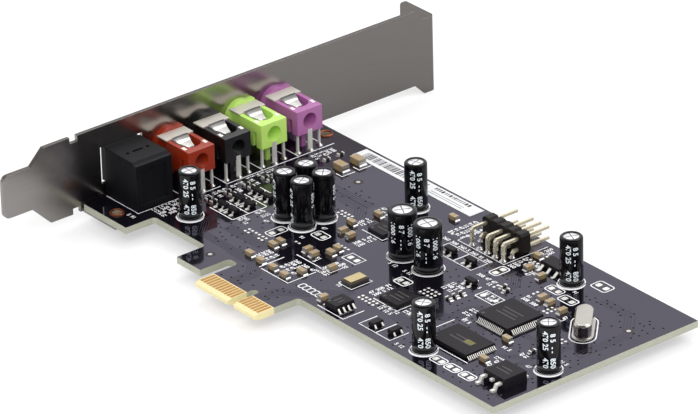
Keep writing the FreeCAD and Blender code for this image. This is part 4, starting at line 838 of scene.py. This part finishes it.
for spots, size in ((leadLands, rows["leadLand"]), (((1.2, 31.3), (3.3, 31.3)), (1.2, 1.4)),
                    (((32.8, 41.4), (36.6, 41.4)), (1.0, 1.1))):
    lands += [(x, y, rows["z"], 0, (*size, 1)) for x, y in spots]
landShape = sheetMesh([[(-0.5, -0.35, 0), (-0.35, -0.5, 0), (0.35, -0.5, 0), (0.5, -0.35, 0),
                        (0.5, 0.35, 0), (0.35, 0.5, 0), (-0.35, 0.5, 0), (-0.5, 0.35, 0)]])
scatter("bareLands", landShape, lands, landTin, True)
print("board printed")

# Tracks under the mask, in bundles with 45 degree bends, and small tented holes
tracks = {"width": 0.2, "z": 0.008}
bundles = (
    ((3.0, 5.2, 3.0, 9.5, 13.0, 19.5, 13.0, 22.0), 6, 0.55),
    ((-6.5, 5.2, -6.5, 11.0, -10.2, 14.7, -18.0, 14.7), 8, 0.45),
    ((26.6, 27.0, 33.0, 27.0, 36.2, 30.2, 36.2, 35.0, 38.4, 37.2), 8, 0.42),
    ((43.0, 28.6, 43.0, 32.2), 9, 0.55),
    ((38.2, 41.0, 34.0, 45.2, 34.0, 49.0, 31.0, 52.0, 5.0, 52.0, -0.4, 46.6), 5, 0.5),
    ((-6.2, 44.3, -12.0, 44.3, -15.0, 47.3, -30.0, 47.3, -33.5, 43.8, -42.5, 43.8), 5, 0.6),
    ((-43.0, 51.5, -36.0, 51.5, -34.0, 49.5, -14.0, 49.5), 4, 0.6),
    ((55.4, 43.4, 52.6, 40.6, 51.2, 40.6), 2, 0.7),
    ((60.5, 25.4, 60.5, 31.0, 55.3, 36.2, 51.2, 36.2), 3, 0.6),
    ((-18.0, 14.7, -29.0, 14.7, -33.0, 18.7, -33.0, 22.6), 5, 0.5),
    ((-41.8, 24.0, -41.8, 46.0), 3, 0.55),
    ((55.0, 26.0, 62.0, 33.0, 62.0, 40.0), 3, 0.6),
    ((27.0, 21.6, 38.0, 21.6), 5, 0.6),
    ((-27.5, 20.5, -15.8, 20.5, -12.8, 23.5, -12.8, 27.6), 6, 0.5),
    ((51.0, 58.0, 60.0, 58.0, 66.0, 52.0, 66.0, 38.0), 4, 0.7),
)


def offsetPath(points, distance):
    normals = []
    for (x0, y0), (x1, y1) in zip(points, points[1:]):
        length = hypot(x1 - x0, y1 - y0)
        normals.append(Vector(((y0 - y1) / length, (x1 - x0) / length)))
    moved = []
    for n, point in enumerate(points):
        before = normals[max(n - 1, 0)]
        after = normals[min(n, len(normals) - 1)]
        miter = (before + after) / (1 + before.dot(after))
        moved.append(tuple(Vector(point) + miter * distance))
    return moved


trackLines = []
for points, count, gap in bundles:
    trackLines += [offsetPath(pairs(points), gap * (n - (count - 1) / 2)) for n in range(count)]
drawLines("tracks", trackLines, tracks["z"], tracks["width"], trackMask)

# The dots are painted shade for the dimples of the tented holes
holes = {"Spacing": 1.3 * mm, "Density": 300000.0, "Radius": 0.25 * mm, "Seed": 5, "Material": holeShadeMask}
viaZ = 0.012
viaSheets = (
    (-34.0, 14.4, 6.0, 30.0), (-11.4, 5.8, -1.8, 12.4), (1.8, 5.8, 7.4, 12.4), (-1.8, 9.0, 1.8, 12.4),
    (-42.0, 41.8, -2.0, 53.0), (18.0, 19.2, 36.5, 52.5), (36.0, 13.0, 69.0, 60.0),
)
viaMesh = sheetMesh([quad(*sheet, viaZ) for sheet in viaSheets])
grow("tentedHoles", viaMesh, dotTree, holes, True)

# Fiducials: a bright dot in a ring cleared of mask
marks = spotsAt(((-25.3, 54.85), (-19.75, 9.9), (64.8, 53.35)))
for name, radius, sides, z, material, slot in (
    ("fiducialRings", 1.15, 24, 0.014, bareLaminate, "solder_mask"),
    ("fiducialGaps", 0.95, 24, 0.018, trackMask, "solder_mask"),
    ("fiducialDots", 0.5, 16, 0.022, solder, "tin"),
):
    scatter(name, sheetMesh([disc(radius, sides, z)]), marks, material, True)
print("tracks laid")

# Two-ended chips: tinned ends that wrap the ceramic, and a solder toe at each
endSpots = []
smallEnds = []
toeSpots = []
wrap = chips["wrap"]
toeLong, toeWide, toeTall = chips["toe"]
for spots, (length, width, height, end) in chipKinds:
    ends = smallEnds if spots is smallSpots else endSpots
    for x, y, turn in spots:
        way = Vector((cos(radians(turn)), sin(radians(turn))))
        for side in (-1, 1):
            reach = side * (length / 2 - end / 2 + wrap)
            ends.append((x + way.x * reach, y + way.y * reach, chips["lift"], turn,
                         (end, width + 2 * wrap, height + wrap)))
            reach = side * (length / 2 + chips["toeGap"])
            toeSpots.append((x + way.x * reach, y + way.y * reach, 0.0, turn + (90 - 90 * side),
                             (toeLong, width * toeWide, height * toeTall)))
scatter("chipEnds", block((1, 1, 1), chips["bevel"]), endSpots, chipEndTin)
scatter("smallChipEnds", block((1, 1, 1), chips["bevel"]), smallEnds, mattTin)
toe = sheetMesh([
    [(0, -0.5, 0), (0, 0.5, 0), (0, 0.42, 1), (0, -0.42, 1)],
    [(0, -0.42, 1), (0, 0.42, 1), (0.3, 0.45, 0.4), (0.3, -0.45, 0.4)],
    [(0.3, -0.45, 0.4), (0.3, 0.45, 0.4), (1, 0.5, 0.04), (1, -0.5, 0.04)],
    [(0, -0.5, 0), (0, -0.42, 1), (0.3, -0.45, 0.4), (1, -0.5, 0.04)],
    [(0, 0.5, 0), (1, 0.5, 0.04), (0.3, 0.45, 0.4), (0, 0.42, 1)]])
scatter("chipToes", toe, toeSpots, solder)

# Leadless chips: a row of tinned lands peeping out on each side
flat = {"pitch": 0.5, "land": (0.75, 0.26, 0.05), "out": 0.05, "chips": ((22.8, 26.9, 6.0, 10), (-3.4, 44.3, 5.0, 8))}
flatSpots = []
for middleX, middleY, side, count in flat["chips"]:
    out = side / 2 + flat["out"]
    for n in range(count):
        along = flat["pitch"] * (n - (count - 1) / 2)
        for turn in (0, 90, 180, 270):
            c, s = cos(radians(turn)), sin(radians(turn))
            flatSpots += spotsAt([(middleX + out * c - along * s, middleY + out * s + along * c)], turn=turn)
scatter("leadlessLands", block(flat["land"]), flatSpots, tin)

# Solder where leads come through: cones below the board, small fillets round the jack and header pins above
joints = {"coneR": 0.75, "wireR": 0.28, "cone": 0.95, "fillet": 0.45, "bottom": -1.57, "sides": 12}
header = {"x": 13.67, "pitch": 2.54, "columns": 5, "rows": (54.35, 56.89), "key": 1}
jackPins = ((-44.65, 0.0), (-45.25, -3.0), (-45.25, 3.0), (-53.9, 3.55))
optical = {"x": -47.0, "y": 15.0, "pitch": 1.27}
leadSpots = [(x + side * cans[size + "Pitch"] / 2, y)
             for size in ("small", "large") for x, y in cans[size] for side in (-1, 1)]
headerSpots = [(header["x"] + header["pitch"] * n, y) for n in range(header["columns"]) for y in header["rows"]]
headerSpots.remove((header["x"] + header["pitch"] * header["key"], header["rows"][1]))
jackSpots = [(x, y + away) for y in jackYs for x, away in jackPins]
crystalSpots = [(crystal["x"] + crystal["lead"] * side * cosine, crystal["y"] + crystal["lead"] * side * sine)
                for side in (-1, 1)]
opticalSpots = [(optical["x"], optical["y"] + optical["pitch"] * n) for n in (-1, 0, 1)]
coneR, wireR, tip = joints["coneR"], joints["wireR"], -joints["cone"]
coneProfile = [(0.001, tip - 0.02), (wireR, tip), (wireR * 1.5, -0.6), (coneR * 0.72, -0.2), (coneR, 0)]
below = leadSpots + headerSpots + jackSpots + crystalSpots + opticalSpots
scatter("solderCones", lathe(coneProfile, joints["sides"]), spotsAt(below, joints["bottom"]), solder)
rise = joints["fillet"]
fillet = lathe([(0.85, 0.005), (0.62, 0.14), (0.42, rise), (0.30, rise + 0.02)], joints["sides"])
scatter("topFillets", fillet, spotsAt(headerSpots + jackSpots), solder)
print("joints soldered")

# Spring tongues: a smooth S over each dipping tongue, so the shine runs in streaks
tongues = {"x": (-52.3, -50.2, -47.98), "z": (10.46, 9.66, 9.44), "halves": (2.2, 0.7), "steps": 16, "crown": 0.06,
           "flat": 0.4}
start, dip, tip = tongues["x"]
high, low, end = tongues["z"]
neck, point = tongues["halves"]
tongueRows = []
for n in range(tongues["steps"] + 1):
    x = start + (tip - start) * n / tongues["steps"]
    fall = min((x - start) / (dip - start), 1.0)
    late = max((x - dip) / (tip - dip), 0.0)
    z = high + (low - high) * fall * fall * (3 - 2 * fall) + (end - low) * late
    width = neck + (point - neck) * n / tongues["steps"]
    inside = tongues["flat"] * width
    crown = z + tongues["crown"]
    tongueRows.append([(x, -width, z), (x, -inside, crown), (x, inside, crown), (x, width, z)])
tongueQuads = []
for near, far in zip(tongueRows, tongueRows[1:]):
    tongueQuads += [[near[k], far[k], far[k + 1], near[k + 1]] for k in range(3)]
tongueMesh = weld(sheetMesh(tongueQuads), False)
for polygon in tongueMesh.polygons:
    polygon.use_smooth = True
# The tongues carry the painted dark band set in their material
scatter("springTongues", tongueMesh, spotsAt([(0, y) for y in jackYs]), tongueShadedSteel, True)

# Painted highlights: flat tinned patches flush in the jacks' tops, leaning a little, that mirror the white room as
# white spots
glintPatches = {"x": -46.3, "z": 10.1, "side": 2.8, "length": 2.6, "width": 0.8, "lean": 4.0}
half = glintPatches["length"] / 2
side = glintPatches["width"] / 2
rise = half * tan(radians(glintPatches["lean"]))
glintPatchShape = sheetMesh([
    [(-half, -side, rise), (half, -side, -rise), (half, side, -rise), (-half, side, rise)]])
glintPatchSpots = [(glintPatches["x"], y + away) for y in jackYs for away in (-glintPatches["side"], glintPatches["side"])]
scatter("contactHeads", glintPatchShape, spotsAt(glintPatchSpots, glintPatches["z"]), mattTin, True)

# Header housing: moulded as a row of eight-sided cells, so it is notched between the pins
housing = {"cells": 5, "chamfer": 0.55}
low, high = boxIn("header_block")
cell = (high[0] - low[0]) / housing["cells"]
cut = housing["chamfer"]
housingFaces = []
for n in range(housing["cells"]):
    x0 = low[0] + cell * n
    x1 = x0 + cell
    rim = [(x0, low[2] + cut), (x0 + cut, low[2]), (x1 - cut, low[2]), (x1, low[2] + cut),
           (x1, high[2] - cut), (x1 - cut, high[2]), (x0 + cut, high[2]), (x0, high[2] - cut)]
    walls = [0, 1, 2, 4, 5, 6] + [7] * (n == 0) + [3] * (n == housing["cells"] - 1)  # end walls close the row
    housingFaces += [[(x, y, z) for x, z in rim] for y in (low[1], high[1])]
    for k in walls:
        a, b = rim[k], rim[(k + 1) % 8]
        housingFaces.append([(a[0], low[1], a[1]), (b[0], low[1], b[1]), (b[0], high[1], b[1]), (a[0], high[1], a[1])])
housingMesh = weld(sheetMesh(housingFaces))
housingMesh.materials.append(headerPlastic)
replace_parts(addPiece("headerHousing", housingMesh), "header_block")

# Eyelet lips: each tube is rolled out over the board; its bore is lined with pale gold, partly real plate and partly a
# painted highlight of its lit far wall
eyelet = {"lip": 0.14, "rise": 0.42, "bore": 1.06, "depth": 1.5, "sides": 40}
low, high = boxIn("bracket_eyelets")
tubeR = (high[0] - low[0]) / 2
lip, rise, bore = eyelet["lip"], eyelet["rise"], eyelet["bore"]
lipProfile = [(tubeR + lip, -0.02), (tubeR + lip * 0.6, rise * 0.5), (tubeR - 0.08, rise * 0.9), (tubeR - 0.28, rise),
              (tubeR - 0.46, rise * 0.75), (bore, rise * 0.3)]
boreProfile = [(bore, rise * 0.3), (bore, -eyelet["depth"])]
eyeletSpots = spotsAt([((low[0] + high[0]) / 2, y) for y in (low[1] + tubeR, high[1] - tubeR)])
scatter("eyeletLips", lathe(lipProfile, eyelet["sides"]), eyeletSpots, barrelCopper)
scatter("eyeletBores", lathe(boreProfile, eyelet["sides"]), eyeletSpots, paleGold)

# Label: generic bars, no maker's text. A run is its two ends, middle, height, bar widths and gaps
labelSet = {
    "z": 0.105, "lineX": -6.0, "lineYs": (63.2, 63.9), "line": (11.0, 0.16),
    "runs": ((-34.6, -14.0, 64.4, 2.4, (0.16, 0.16, 0.3, 0.45), (0.16, 0.22, 0.4)),
             (-11.6, -0.4, 65.35, 1.0, (0.3, 0.45, 0.7), (0.3, 0.4))),
}
bars = []
for along, end, y, tall, widths, gaps in labelSet["runs"]:
    while along < end:
        thick = chance.choice(widths)
        bars.append((along + thick / 2, y, labelSet["z"], 0, (thick, tall, 1)))
        along += thick + chance.choice(gaps)
bars += [(labelSet["lineX"], y, labelSet["z"], 0, (*labelSet["line"], 1)) for y in labelSet["lineYs"]]
scatter("labelBars", sheetMesh(unitSquare), bars, labelInk, True)

# Chip tops: first-lead dots and blank etched bars. A chip is x, y, top, bar length, bars and turn
etch = {
    "lift": 0.012, "pitch": 1.15, "tall": 0.32, "shorter": 0.22, "dotR": 0.38, "dotSides": 16,
    "chips": ((44.8, 38.35, 1.5, 6.0, 3, 0), (46.3, 24.2, 1.1, 6.4, 2, 0), (17.0, 15.6, 1.55, 2.2, 2, 90),
              (22.8, 26.9, 0.85, 3.6, 3, 0), (-3.4, 44.3, 0.85, 3.0, 2, 0), (63.8, 20.9, 2.3, 4.0, 2, 0)),
    "patch": (48.4, 24.4, 1.114, 0, (2.5, 1.5, 1)),
    "dots": ((40.9, 34.4, 1.512), (41.4, 21.2, 1.112), (15.7, 13.9, 1.562), (20.6, 24.7, 0.862), (-5.2, 42.5, 0.862)),
}
etchBars = []
for x, y, z, wide, count, turn in etch["chips"]:
    for row in range(count):
        shift = etch["pitch"] * (row - (count - 1) / 2)
        spot = (x, y + shift) if turn == 0 else (x + shift, y)
        etchBars.append((*spot, z + etch["lift"], turn, (wide * (1.0 - etch["shorter"] * (row % 2)), etch["tall"], 1)))
scatter("etchBars", sheetMesh(unitSquare), etchBars, etchGrey, True)
scatter("printedPatch", sheetMesh(unitSquare), [etch["patch"]], patchInk, True)
scatter("firstLeadDots", sheetMesh([disc(etch["dotR"], etch["dotSides"])]),
        [(*dot, 0, (1, 1, 1)) for dot in etch["dots"]], etchGrey, True)
print("markings done")
